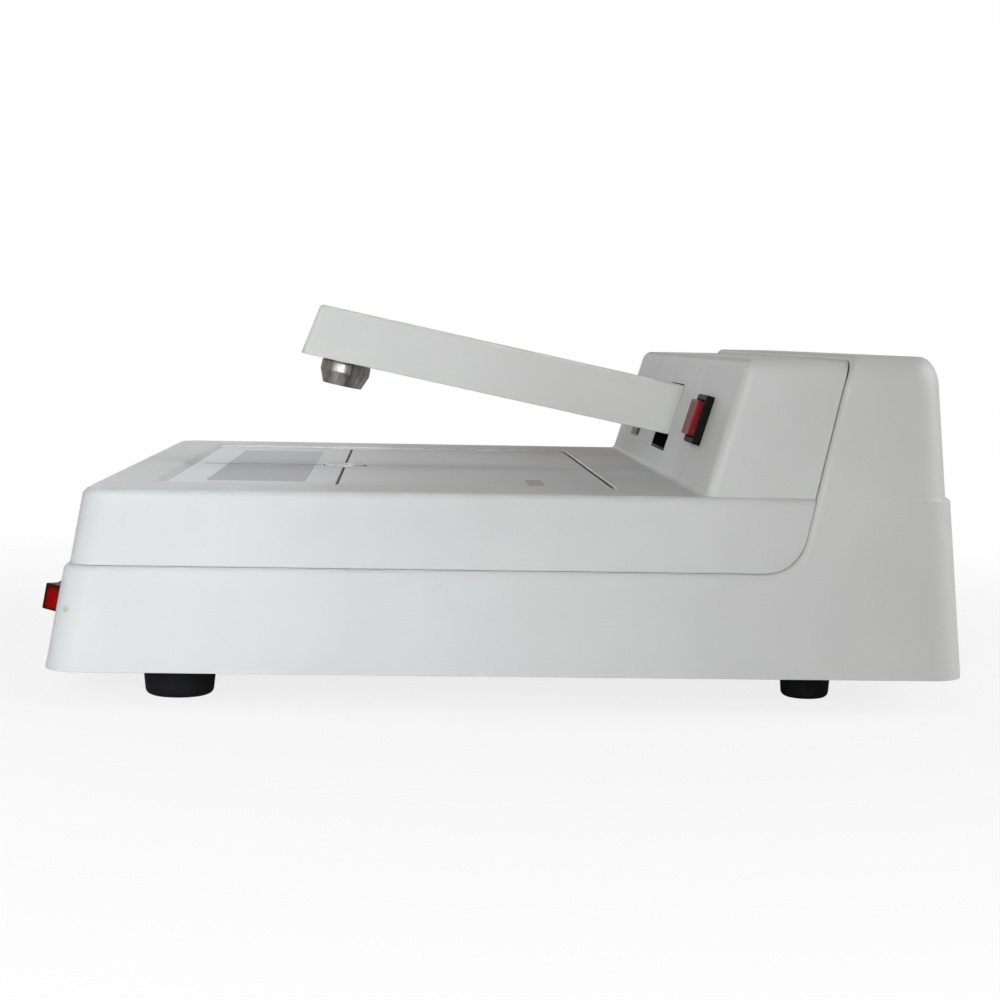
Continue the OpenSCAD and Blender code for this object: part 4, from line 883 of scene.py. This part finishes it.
class DENSITOMETER_OT_front_cover(Maker, bpy.types.Operator):
    """Stage deck with its round edges, and the hump with the sloped panel and its openings"""
    bl_idname = "densitometer.front_cover"
    bl_label = "Front cover"

    def make(self, context):
        case = context.scene.densitometer_case
        self.deck(case.seam_edge / MM)
        self.seat()
        self.hump(case.seam_edge / MM, case.foot_fillet / MM, case.hump_corner / MM)

    @staticmethod
    def skin(h, inset, lean, width_in, far, r, columns, edge):
        """A U that starts at the seam and runs round the front, with a round edge along the
        seam. columns are the last four values of u_path."""
        path = u_path(h, lambda q: side_x(q) - width_in, lambda q: -seam_y(q, SEAM_GAP), far, r, *columns)
        y = -(path[1] - inset * path[3])
        drop = edge_round(np.maximum(-seam_distance(y, h, SEAM_GAP), 0), edge) if edge else 0 * y
        points = u_skin(path, h, inset, lean, drop)
        points[..., :2] *= -1
        return points

    @staticmethod
    def opening(rear_gap):
        """Path of the opening round the stage plate: tight at its front end, with a gap at the
        rear"""
        side_gap, front_gap, corner = 0.15, 0.1, 1.7
        middle = STAGE_MID + (rear_gap - front_gap) / 2
        return rectangle(STAGE[0] + 2 * side_gap, STAGE[1] + front_gap + rear_gap, corner, 4, (0, middle))

    def deck(self, edge):
        near = levels(0, 0.06, 0.14, 0.25, 0.45, 0.7, 1.2, 3, 8)
        run = levels(0.08, 0.16, 0.3, 0.5, 0.7, 0.88)
        across = levels(100, 50, 0, -50, -100)
        steps = 10
        round_h, round_in, round_lean = top_round(DECK_H, DECK_ROUND, 8)
        low, ch = LEDGE_H + SEAM_GAP, seam_centre(SEAM_GAP)[1]
        arc = ch + SEAM_ARC * np.sin(np.radians(levels(-76, -66, -54, -40, -26, -13)))
        h = np.unique(np.round(levels(low, low + 0.1, low + 0.25, low + 0.6, arc, 44, 47, round_h), 4))
        inset, lean = (np.interp(h, round_h, values)[:, None] for values in (round_in, round_lean))
        grid = np.repeat(h[:, None], 2 * (len(near) + len(run) + steps + 1) + len(across), 1)
        form = (COVER_IN, lambda q: -front_y(q) - COVER_IN, CORNER_R - COVER_IN, (near, run, across, steps))
        outer = self.skin(grid, inset, lean, *form, edge)
        inner_h, inner_in = inner_side(grid, inset, DECK_H, DECK_ROUND)
        inner = self.skin(inner_h, inner_in, lean, *form, 0)
        index = numbers(outer.shape)
        # At the rear the deck's lip overhangs a dark hollow, and at the front a ramp as high as
        # the step leads down to the plate
        step, lip, ramp, rim_round, depth = DECK_H + FOOT_H - STAGE_TOP, 0.6, 2.6, 0.4, 1.6
        tight, hollow = self.opening(REAR_GAP), self.opening(HOLLOW_GAP)
        rim = ring_points(quarter(tight, 0, DECK_H, rim_round, down=True)
                          + [(tight, 0, DECK_H - lip), (hollow, 0, DECK_H - lip),
                             (hollow, 0, DECK_H - step), (hollow, 0, DECK_H - depth)])
        share = 1 - np.clip((DECK_H - rim[..., 2]) / step, 0, 1)
        rim[..., 1] -= np.where(rim[..., 1] < STAGE_MID, ramp * share, 0)
        under_hump = plan(rectangle(224, 20, 2, 4, (0, 73)))
        rim_index = numbers(rim.shape, index.size)
        around = np.concatenate([rim_index, rim_index[:, :1]], 1)
        hump_index = index.size + rim_index.size + np.arange(len(under_hump))
        top = flat_faces([outer[-1, :, :2], rim[0, :, :2], under_hump], [index[-1], rim_index[0], hump_index])
        above = np.concatenate([rim.reshape(-1, 3), at_level(under_hump, DECK_H)]) + (0, 0, FOOT_H)
        below = at_level(above[:, :2], DECK_H - WALL + FOOT_H)
        points, faces = closed_wall(np.concatenate([outer.reshape(-1, 3), above]),
                                    np.concatenate([inner.reshape(-1, 3), below]),
                                    [grid_quads(index), grid_quads(around), top])
        piece("deck_moulding", points, faces, "front_cover")

    def seat(self):
        """Frame under the deck that the stage plate lies on"""
        margin, ledge_w, thick = 3.5, 5.0, 2.0
        wide = rectangle(STAGE[0] + 2 * margin, STAGE[1] + 2 * margin, 3, 4, (0, STAGE_MID))
        ledge = rectangle(STAGE[0] - 2 * ledge_w, STAGE[1] - 2 * ledge_w, 2, 4, (0, STAGE_MID))
        hollow = self.opening(HOLLOW_GAP)
        floor, under = STAGE_TOP - STAGE[2], DECK_H - WALL + FOOT_H
        points, faces = carried([(wide, 0, floor - thick), (wide, 0, under), (hollow, 0, under),
                                 (hollow, 0, floor), (ledge, 0, floor), (ledge, 0, floor - thick)], loop=True)
        piece("stage_seat", points, faces, "front_cover")

    def hump(self, edge, fillet, corner):
        near = levels(0, 0.1, 0.25, 0.45, 0.7, 1.2, 3, 7)
        run = levels(0.25, 0.55, 0.8)
        ends = [np.array([hole[k] for hole in (SLOT_HOLE, BUTTON_HOLE, WINDOW_HOLE)]).ravel() for k in (0, 1)]
        places = np.sort(levels(-108, -94, -70.5, -38, 0, 42, 77, 105, ends[0]))
        steps, extra_row = 10, 20.4
        openings = DECK_H + np.sort(levels(extra_row, ends[1])) * math.cos(PANEL_LEAN)
        side = len(near) + len(run)
        width = 2 * (side + steps + 1) + len(places)
        angle = np.linspace(0, math.pi / 2, steps + 1)
        # Height of the deck under the hump's foot, and how much of the fillet each column has
        out_x = np.r_[np.ones(side), np.cos(angle), 0 * places, np.cos(angle[::-1]), np.ones(side)]
        foot_drop = edge_round(HUMP_IN - COVER_IN + corner * (1 - out_x), DECK_ROUND)
        share = (1 - out_x) ** 1.5
        reach = fillet * math.tan((math.pi / 2 - PANEL_LEAN) / 2)
        a = np.linspace(-math.pi / 2, -PANEL_LEAN, 8)
        rise = fillet + fillet * np.sin(a)
        spread = rise * math.tan(PANEL_LEAN) + reach - fillet * np.cos(a)
        foot = (DECK_H - 0.03 - foot_drop)[None, :] + rise[:, None]
        round_h, round_in, round_lean = top_round(HUMP_H, HUMP_ROUND, 9)
        above = levels(55, openings, 83.5, round_h)
        h = np.concatenate([foot, np.repeat(above[:, None], width, 1)])
        plain_rows = np.zeros(len(h) - len(round_h))
        inset, tilt = levels(plain_rows, round_in)[:, None], levels(plain_rows, round_lean)[:, None]
        flare = np.zeros_like(h)
        flare[:len(a)] = spread[:, None] * share

        def far(q):
            """The panel's upper edge is rounder at the sides than in front"""
            return -panel_y(q) + edge_round(HUMP_H - q, HUMP_ROUND) - edge_round(HUMP_H - q, HUMP_ROUND / 2)

        # The corner opens towards the top, so that the edge's round never folds over
        form = (HUMP_IN, far, np.maximum(corner, inset + 0.1), (near, run, -places, steps))
        outer = self.skin(h, inset - flare, tilt, *form, edge)
        inner_h, inner_in = inner_side(h, inset, HUMP_H, HUMP_ROUND)
        inner = self.skin(inner_h, inner_in, tilt, *form, 0)
        index = numbers(outer.shape)
        holes = [cells(h[:, 0], places, side + steps + 1, along, DECK_H + np.array(up) * math.cos(PANEL_LEAN))
                 for along, up in (SLOT_HOLE, BUTTON_HOLE, WINDOW_HOLE)]
        top_quads, top_faces = roof(index[-1], side)
        points, faces = closed_wall(outer.reshape(-1, 3), inner.reshape(-1, 3),
                                    [grid_quads(index, holes), top_quads] + top_faces)
        piece("hump_moulding", points, faces, "front_cover")


class DENSITOMETER_OT_stage(Maker, bpy.types.Operator):
    """Stage plate with its cross lines and grey fields, the aperture ring and the diffuser"""
    bl_idname = "densitometer.stage"
    bl_label = "Stage"

    def make(self, context):
        finished_copy("stage_plate", 0.12)
        finished_copy("stage_field", 0.02)
        ring, spot = circle(RING_R, 64, (0, SPOT_Y)), circle(SPOT_R, 48, (0, SPOT_Y))
        low, top = STAGE_TOP - STAGE[2], STAGE_TOP + 0.4
        rows = [(ring, 0, low)] + quarter(ring, 0, top, 0.3, 3)
        rows += [(ring, 3.7, top), (ring, 4.3, top - 0.5), (ring, 4.3, low)]
        piece("aperture_ring_finish", *carried(rows, loop=True), "aperture_ring")
        dome = [(spot, SPOT_R * (1 - math.cos(t)), top - 0.5 + 0.28 * math.sin(t))
                for t in np.linspace(0, 1.45, 6)]
        piece("diffuser_finish", *carried([(spot, 0, low)] + dome), "aperture_diffuser")


class DENSITOMETER_OT_arm(Maker, bpy.types.Operator):
    """Measuring arm: its rounded moulding, its bottom cover and their screws"""
    bl_idname = "densitometer.arm"
    bl_label = "Measuring arm"

    def make(self, context):
        case = context.scene.densitometer_case
        edge, corner = case.arm_edge / MM, case.arm_corner / MM
        near, run, across = levels(0, 2, 20), levels(0.2, 0.5, 0.8, 0.97), levels(8, 0, -8)
        steps, wall = 8, 2.0
        side = len(near) + len(run)
        round_h, round_in, round_lean = top_round(ARM_D, edge, 8)
        h = levels(0, 0.12, 0.35, 4, 10, ARM_D - edge - 0.8, round_h)
        straight = np.zeros(len(h) - len(round_h))
        inset = levels(0.35, 0.1, straight[2:], round_in)[:, None]
        lean = levels(straight, round_lean)[:, None]
        grid = np.repeat(h[:, None], 2 * (side + steps + 1) + len(across), 1)

        def skin(q, inward):
            path = u_path(q, lambda v: ARM_W / 2 + 0 * v, lambda v: -ARM_BACK + 0 * v,
                          lambda v: -ARM_FRONT - ARM_LEAN * v / ARM_D, corner, near, run, across, steps)
            points = u_skin(path, q, inward, lean, 0 * q)
            points[..., :2] *= -1
            points[..., 2] += ARM_LOW - FOOT_H
            return raised(points).reshape(-1, 3)

        index = numbers(grid.shape)
        top_quads, top_faces = roof(index[-1], side)
        points, faces = closed_wall(skin(grid, inset), skin(*inner_side(grid, inset, ARM_D, edge, wall)),
                                    [grid_quads(index), top_quads] + top_faces)
        piece("arm_moulding", points, faces, "arm_shell")
        finished_copy("arm_bottom")
        finished_copy("arm_screws")


class DENSITOMETER_OT_probe(Maker, bpy.types.Operator):
    """Probe under the arm's front end, turned from steel, with its window"""
    bl_idname = "densitometer.probe"
    bl_label = "Probe"

    def make(self, context):
        radius, tip = 8.4, ARM_LOW - 8.2
        axis = circle(radius, 72, (0, SPOT_Y))
        profile = [(4.0, 1.0), (4.0, 0.25), (4.25, 0.0), (6.3, 0.0), (6.62, 0.12), (6.74, 0.4), (7.5, 2.3),
                   (8.2, 4.05), (8.36, 4.35), (8.4, 4.7), (8.4, 7.3), (8.25, 7.6), (8.05, 7.75), (8.05, 8.18),
                   (5.0, 8.2), (5.0, 13.2), (4.2, 13.2), (4.2, 6.0), (2.5, 6.0), (2.5, 1.0)]
        points, faces = carried([(axis, radius - r, tip + z) for r, z in profile], loop=True)
        piece("probe_turned", raised(points), faces, "probe_body", sharp=28)
        finished_copy("probe_window", 0.1)


class DENSITOMETER_OT_panel_controls(Maker, bpy.types.Operator):
    """Zero button with its bezel, display window and the dark edge of the arm's slot"""
    bl_idname = "densitometer.panel_controls"
    bl_label = "Panel controls"

    def make(self, context):
        points, faces = bezel((19, 15.3, 0.9), (15, 11.6, 0.6), (16.6, 12.9, 0.5), 18, 2.4, 0.35, BUTTON)
        piece("zero_bezel", ON_PANEL(points), faces, "zero_button_body")
        wide, tall, top, edge = 14.4, 11, 4.2, 0.5
        cap = rectangle(wide, tall, 0.7, 5, BUTTON)
        rows = [(cap, 0.4, -2), (cap, 0, -1.6), (cap, 0, 3.5)]
        rows += quarter(cap, 0, top, edge)
        rows += [(rectangle(wide, tall, inset + 0.1, 5, BUTTON), inset, level)
                 for inset, level in ((1.2, top), (2.4, top - 0.04), (4.4, top - 0.08))]
        points, faces = carried(rows)
        piece("zero_cap", ON_PANEL(points), faces, "zero_button_cap")
        finished_copy("display_window", 0.25)
        finished_copy("slot_liner")
        finished_copy("display_module", 0.1)


class DENSITOMETER_OT_mains_rocker(Maker, bpy.types.Operator):
    """Mains rocker on the front face: black bezel and clear red rocker"""
    bl_idname = "densitometer.mains_rocker"
    bl_label = "Mains rocker"

    def make(self, context):
        points, faces = bezel((15, 10, 0.9), (12.9, 8, 0.4), (13.2, 8.4, 0.3), 14, 1.6, 0.2)
        piece("rocker_bezel", ON_FRONT(points), faces, "power_switch_body")
        finished_copy("power_rocker", 0.35, "red_clear")


class DENSITOMETER_OT_connector_frame(Maker, bpy.types.Operator):
    """Raised frame at the rear with the recess that holds both connectors"""
    bl_idname = "densitometer.connector_frame"
    bl_label = "Connector frame"

    def make(self, context):
        half, low, high = 77.4 / 2, 8.0 - CONNECTOR_Z, 52.8 - CONNECTOR_Z
        at, face = -FRAME_X, FRAME_Y - RECESS_Y
        depth, wall, edge = 7.6, 2.2, 0.9
        corners = np.array([[half, low], [half, high], [-half, high], [-half, low]]) + (at, 0)
        outer = rounded_path(corners, (1.2, 5, 5, 1.2), 8)
        recess = rectangle(66, 35, 2, 8, (at, 0.5))
        rows = [(outer, 0, face - depth)] + quarter(outer, 0, face, edge)
        rows += quarter(recess, 0, face, edge, down=True)
        rows += [(recess, 0, 0.5), (recess, 0.15, 0.15), (recess, 0.5, 0)]
        back = [(outer, wall, face - depth)] + [(outer, wall, face - wall)] * 5
        back += [(recess, -wall, face - wall)] * 5
        back += [(recess, -wall, level - wall) for level in (0.5, 0.2, 0)]
        front, behind = ring_points(rows), ring_points(back)
        index = numbers(front.shape)
        around = np.concatenate([index, index[:, :1]], 1)
        inlet = plan(rectangle(28.6, 30.2, 0.5, 2, (-INLET_X, -1.4)))
        serial = plan(rectangle(9.4, 19.4, 0.5, 2, (-SERIAL_X, 0)))
        inlet_index = index.size + np.arange(len(inlet))
        serial_index = index.size + len(inlet) + np.arange(len(serial))
        floor = flat_faces([front[-1, :, :2], inlet, serial], [index[-1], inlet_index, serial_index])
        holes = np.concatenate([inlet, serial])
        points, faces = closed_wall(np.concatenate([front.reshape(-1, 3), at_level(holes, 0)]),
                                    np.concatenate([behind.reshape(-1, 3), at_level(holes, -wall)]),
                                    [grid_quads(around), floor])
        piece("recess_moulding", IN_RECESS(points), faces, "connector_frame")


class DENSITOMETER_OT_serial_socket(Maker, bpy.types.Operator):
    """Nine way serial socket: plated flange, D shaped shell, insulator and jackscrews"""
    bl_idname = "densitometer.serial_socket"
    bl_label = "Serial socket"

    def make(self, context):
        x = -SERIAL_X
        flange = rectangle(12.55, 30.8, 1.0, 7, (x, 0))
        # The long side of the D is on the outer flank, which is to the right seen from behind
        narrow, long = 3.95, 8.15
        short = long - 2 * narrow * math.tan(math.radians(10))
        corners = np.array([[-narrow, -short], [narrow, -long], [narrow, long], [-narrow, short]]) + (x, 0)
        shell = rounded_path(corners, 2.1, 7)
        sheet, bend, top = 0.9, 0.7, 6.0
        rows = [(flange, 0, 0.1), (flange, 0, 0.7), (flange, 0.08, 0.84), (flange, 0.25, sheet)]
        rows += [(shell, -bend + bend * math.sin(t), sheet + bend * (1 - math.cos(t)))
                 for t in np.linspace(0, math.pi / 2, 5)]
        rows += [(shell, inset, top - down) for inset, down in
                 ((0, 0.15), (0.06, 0.03), (0.2, 0), (0.34, 0.03), (0.4, 0.15), (0.4, 5.9))]
        points, faces = carried(rows, loop=True)
        piece("serial_shell_finish", IN_RECESS(points), faces, "serial_shell")
        for node, edge in (("serial_insulator", 0.1), ("serial_contacts", 0.03), ("serial_jackscrews", 0.35)):
            finished_copy(node, edge)


class DENSITOMETER_OT_mains_inlet(Maker, bpy.types.Operator):
    """Mains inlet: body with its flange, three blades, fuse drawer and screws"""
    bl_idname = "densitometer.mains_inlet"
    bl_label = "Mains inlet"

    def make(self, context):
        for node, edge in (("inlet_body", 0.4), ("inlet_pins", 0.35), ("inlet_screws", 0.3),
                           ("fuse_drawer", 0.25), ("fuse", 0.15)):
            finished_copy(node, edge)


class DENSITOMETER_OT_rating_label(Maker, bpy.types.Operator):
    """Label on the rear face, with a ruled border and blank fields"""
    bl_idname = "densitometer.rating_label"
    bl_label = "Rear label"

    def make(self, context):
        edge = rectangle(*LABEL, 0.8, 5)
        points, faces = carried([(edge, 0, 0.02), (edge, 0, 0.2), (edge, 0.08, 0.28), (edge, 0.3, 0.3)])
        piece("label", ON_REAR(points), faces, "rating_plate")


class DENSITOMETER_OT_feet(Maker, bpy.types.Operator):
    """Four rubber feet, the front pair larger, each with a recess for its screw"""
    bl_idname = "densitometer.feet"
    bl_label = "Feet"

    def make(self, context):
        edge = 1.8
        for name, top, low, places in (("front_feet", 10.6, 9.8, ((-110, -93.5), (110, -93.5))),
                                       ("rear_feet", 7.6, 7.0, ((-105, 89), (105, 89)))):
            profile = [(2.05, 9.55), (2.05, 1.05), (3.8, 1.0), (4.0, 0.8), (4.0, 0.2), (4.2, 0.0)]
            profile += [(low - edge + edge * math.sin(t), edge - edge * math.cos(t))
                        for t in np.linspace(0, math.pi / 2, 7)]
            profile += [(top - 0.15, 7.9), (top, 8.3), (top, 9.55)]
            points, faces, start = [], [], 0
            for at in places:
                foot = circle(top, 56, at)
                p, f = carried([(foot, top - r, z) for r, z in profile], loop=True)
                points.append(p)
                faces += [tuple(i + start for i in face) for face in f]
                start += len(p)
            piece(name + "_finish", np.concatenate(points), faces, name, sharp=40)
        finished_copy("foot_screws")


class DENSITOMETER_OT_inner_parts(Maker, bpy.types.Operator):
    """Lamp, pivot, springs, boards and transformer inside the case"""
    bl_idname = "densitometer.inner_parts"
    bl_label = "Inner parts"

    def make(self, context):
        for node, obj in frame["nodes"].items():
            obj.data.materials.clear()
            obj.data.materials.append(Palette.get(SLOTS[node]))


def aim(position, target):
    """Turn that points a lamp's or the camera's -Z at a target, with +Z of the world up."""
    return (Vector(target) - Vector(position)).to_track_quat("-Z", "Y").to_matrix().to_4x4()


class DENSITOMETER_OT_studio(Maker, bpy.types.Operator):
    """Pale floor, soft studio light and the camera at the photographed angle"""
    bl_idname = "densitometer.studio"
    bl_label = "Studio"

    def make(self, context):
        scene, studio = context.scene, context.scene.densitometer_studio
        scene.view_settings.view_transform = "Standard"
        self.floor()
        self.surround(scene, studio.world, studio.mirrored)
        cool, warm, neutral = (0.87, 0.945, 1.0), (1.0, 0.95, 0.905), (1.0, 0.985, 0.965)
        middle, key = (0, 0, 0.05), studio.key
        self.lamp("side_light", (1.05, -0.42, 0.3), 0.6, key, warm, middle)
        self.lamp("front_light", (1.15, -0.4, 0.35), 0.45, key * 0.1, cool, (0.13, -0.2, 0.03), 30)
        self.lamp("left_light", (-1.4, -0.5, 0.45), 0.9, key * 0.045, cool, (0, -0.2, 0.05), 50)
        self.lamp("fill_light", (-1.3, -0.6, 0.7), 1.2, key * 0.3, warm, middle)
        self.lamp("rear_light", (-0.05, 1.6, 0.8), 1.2, key * 5.2, neutral, middle)
        self.camera(scene, studio.lens)

    @staticmethod
    def floor():
        """Pale matt floor that keeps the object's shadow and, to the camera, fades to white
        away from the object."""
        side, near, far, share = 6.0, 0.15, 0.42, 0.82
        r = Recipe("studio_floor", (0.86, 0.86, 0.86), 0.7)
        grain = r.noise(120, 2)
        r.paint(r.mix(grain, (0.85, 0.85, 0.85), (0.87, 0.87, 0.87)))
        shown = r.add("ShaderNodeEmission")
        path = r.add("ShaderNodeLightPath")
        away = r.add("ShaderNodeVectorMath", operation="LENGTH")
        r.link(r.place, away, 0)
        white = r.ramp(away.outputs["Value"], near, far, share, 1.0)
        seen = r.math("MULTIPLY", path.outputs["Is Camera Ray"], white)
        mix = r.add("ShaderNodeMixShader")
        for socket, source in enumerate((seen, r.shader.outputs[0], shown.outputs[0])):
            r.link(source, mix, socket)
        r.link(mix.outputs[0], r.tree.nodes["Material Output"], "Surface")
        mesh = bpy.data.meshes.new("studio_floor")
        mesh.from_pydata([(-side, -side, 0), (side, -side, 0), (side, side, 0), (-side, side, 0)], [],
                         [(0, 1, 2, 3)])
        mesh.materials.append(r.material)
        floor = bpy.data.objects.new("studio_floor", mesh)
        bpy.context.scene.collection.objects.link(floor)

    @staticmethod
    def surround(scene, strength, mirrored):
        """White behind the object, and a plain pale level for the light from all round and for
        what glossy faces mirror."""
        world = bpy.data.worlds.new("studio_surround")
        world.use_nodes = True
        scene.world = world
        tree = world.node_tree
        back = tree.nodes["Background"]
        tone = tree.nodes.new("ShaderNodeMix")
        tone.data_type = "RGBA"
        tone.inputs[6].default_value, tone.inputs[7].default_value = (1, 0.96, 0.925, 1), (1, 1, 1, 1)
        tree.links.new(tone.outputs[2], back.inputs["Color"])
        path = tree.nodes.new("ShaderNodeLightPath")
        seen = tree.nodes.new("ShaderNodeMath")
        seen.operation = "MAXIMUM"
        tree.links.new(path.outputs["Is Camera Ray"], seen.inputs[0])
        tree.links.new(path.outputs["Is Transmission Ray"], seen.inputs[1])
        tree.links.new(seen.outputs[0], tone.inputs[0])
        glossy = tree.nodes.new("ShaderNodeMapRange")
        glossy.inputs["To Min"].default_value = strength
        glossy.inputs["To Max"].default_value = mirrored
        tree.links.new(path.outputs["Is Glossy Ray"], glossy.inputs["Value"])
        level = tree.nodes.new("ShaderNodeMapRange")
        level.inputs["To Max"].default_value = 1.0
        tree.links.new(glossy.outputs["Result"], level.inputs["To Min"])
        tree.links.new(seen.outputs[0], level.inputs["Value"])
        tree.links.new(level.outputs["Result"], back.inputs["Strength"])

    @staticmethod
    def lamp(name, position, width, power, tone, target, spread=180):
        """Round soft lamp turned to a target, with its light kept within a cone of spread
        degrees."""
        light = bpy.data.lights.new(name, "AREA")
        light.shape, light.size, light.energy = "DISK", width, power
        light.color, light.spread = tone, math.radians(spread)
        obj = bpy.data.objects.new(name, light)
        obj.matrix_world = Matrix.Translation(position) @ aim(position, target)
        bpy.context.scene.collection.objects.link(obj)

    @staticmethod
    def camera(scene, lens):
        """The photograph's upper view: the camera stands on the right and looks across,
        turned a little to the front, down and over."""
        place = (0.67956, -0.03083, 0.10411)
        yaw, pitch, roll = -0.0502, 0.0823, 0.0191
        c, s = math.cos(yaw), math.sin(yaw)
        out, right, up = (np.array(v, float) for v in ((-c, -s, 0), (-s, c, 0), (0, 0, 1)))
        c, s = math.cos(pitch), math.sin(pitch)
        out, up = c * out - s * up, s * out + c * up
        c, s = math.cos(roll), math.sin(roll)
        right, up = c * right + s * up, c * up - s * right
        camera = bpy.data.cameras.new("camera")
        camera.sensor_width, camera.lens = 36.0, lens
        camera.clip_start, camera.clip_end = 0.01, 50.0
        obj = bpy.data.objects.new("camera", camera)
        rows = np.column_stack([right, up, -out, place])
        obj.matrix_world = Matrix([*rows.tolist(), (0, 0, 0, 1)])
        scene.collection.objects.link(obj)
        scene.camera = obj


OPERATORS = (
    DENSITOMETER_OT_base_shell, DENSITOMETER_OT_front_cover, DENSITOMETER_OT_stage, DENSITOMETER_OT_arm,
    DENSITOMETER_OT_probe, DENSITOMETER_OT_panel_controls, DENSITOMETER_OT_mains_rocker,
    DENSITOMETER_OT_connector_frame, DENSITOMETER_OT_serial_socket, DENSITOMETER_OT_mains_inlet,
    DENSITOMETER_OT_rating_label, DENSITOMETER_OT_feet, DENSITOMETER_OT_inner_parts, DENSITOMETER_OT_studio,
)


class DENSITOMETER_PT_sidebar(bpy.types.Panel):
    """Lists the settings and one button for each piece"""
    bl_idname = "DENSITOMETER_PT_sidebar"
    bl_label = "Densitometer"
    bl_space_type = "VIEW_3D"
    bl_region_type = "UI"
    bl_category = "Densitometer"

    def draw(self, context):
        for group in ("densitometer_look", "densitometer_case", "densitometer_studio"):
            box = self.layout.box()
            settings = getattr(context.scene, group)
            for key in settings.bl_rna.properties.keys():
                if key not in ("rna_type", "name"):
                    box.prop(settings, key)
        for operator in OPERATORS:
            self.layout.operator(operator.bl_idname)


GROUPS = {
    "densitometer_look": DENSITOMETER_PG_look,
    "densitometer_case": DENSITOMETER_PG_case,
    "densitometer_studio": DENSITOMETER_PG_studio,
}


def register():
    for cls in (*GROUPS.values(), *OPERATORS, DENSITOMETER_PT_sidebar):
        bpy.utils.register_class(cls)
    for name, group in GROUPS.items():
        setattr(bpy.types.Scene, name, bpy.props.PointerProperty(type=group))


def unregister():
    for name in GROUPS:
        delattr(bpy.types.Scene, name)
    for cls in (DENSITOMETER_PT_sidebar, *reversed(OPERATORS), *reversed(list(GROUPS.values()))):
        bpy.utils.unregister_class(cls)


def main():
    register()
    for operator in OPERATORS:
        category, name = operator.bl_idname.split(".")
        if getattr(getattr(bpy.ops, category), name)() != {"FINISHED"}:
            raise RuntimeError(operator.bl_label + " was not made")


if __name__ == "__main__":
    main()
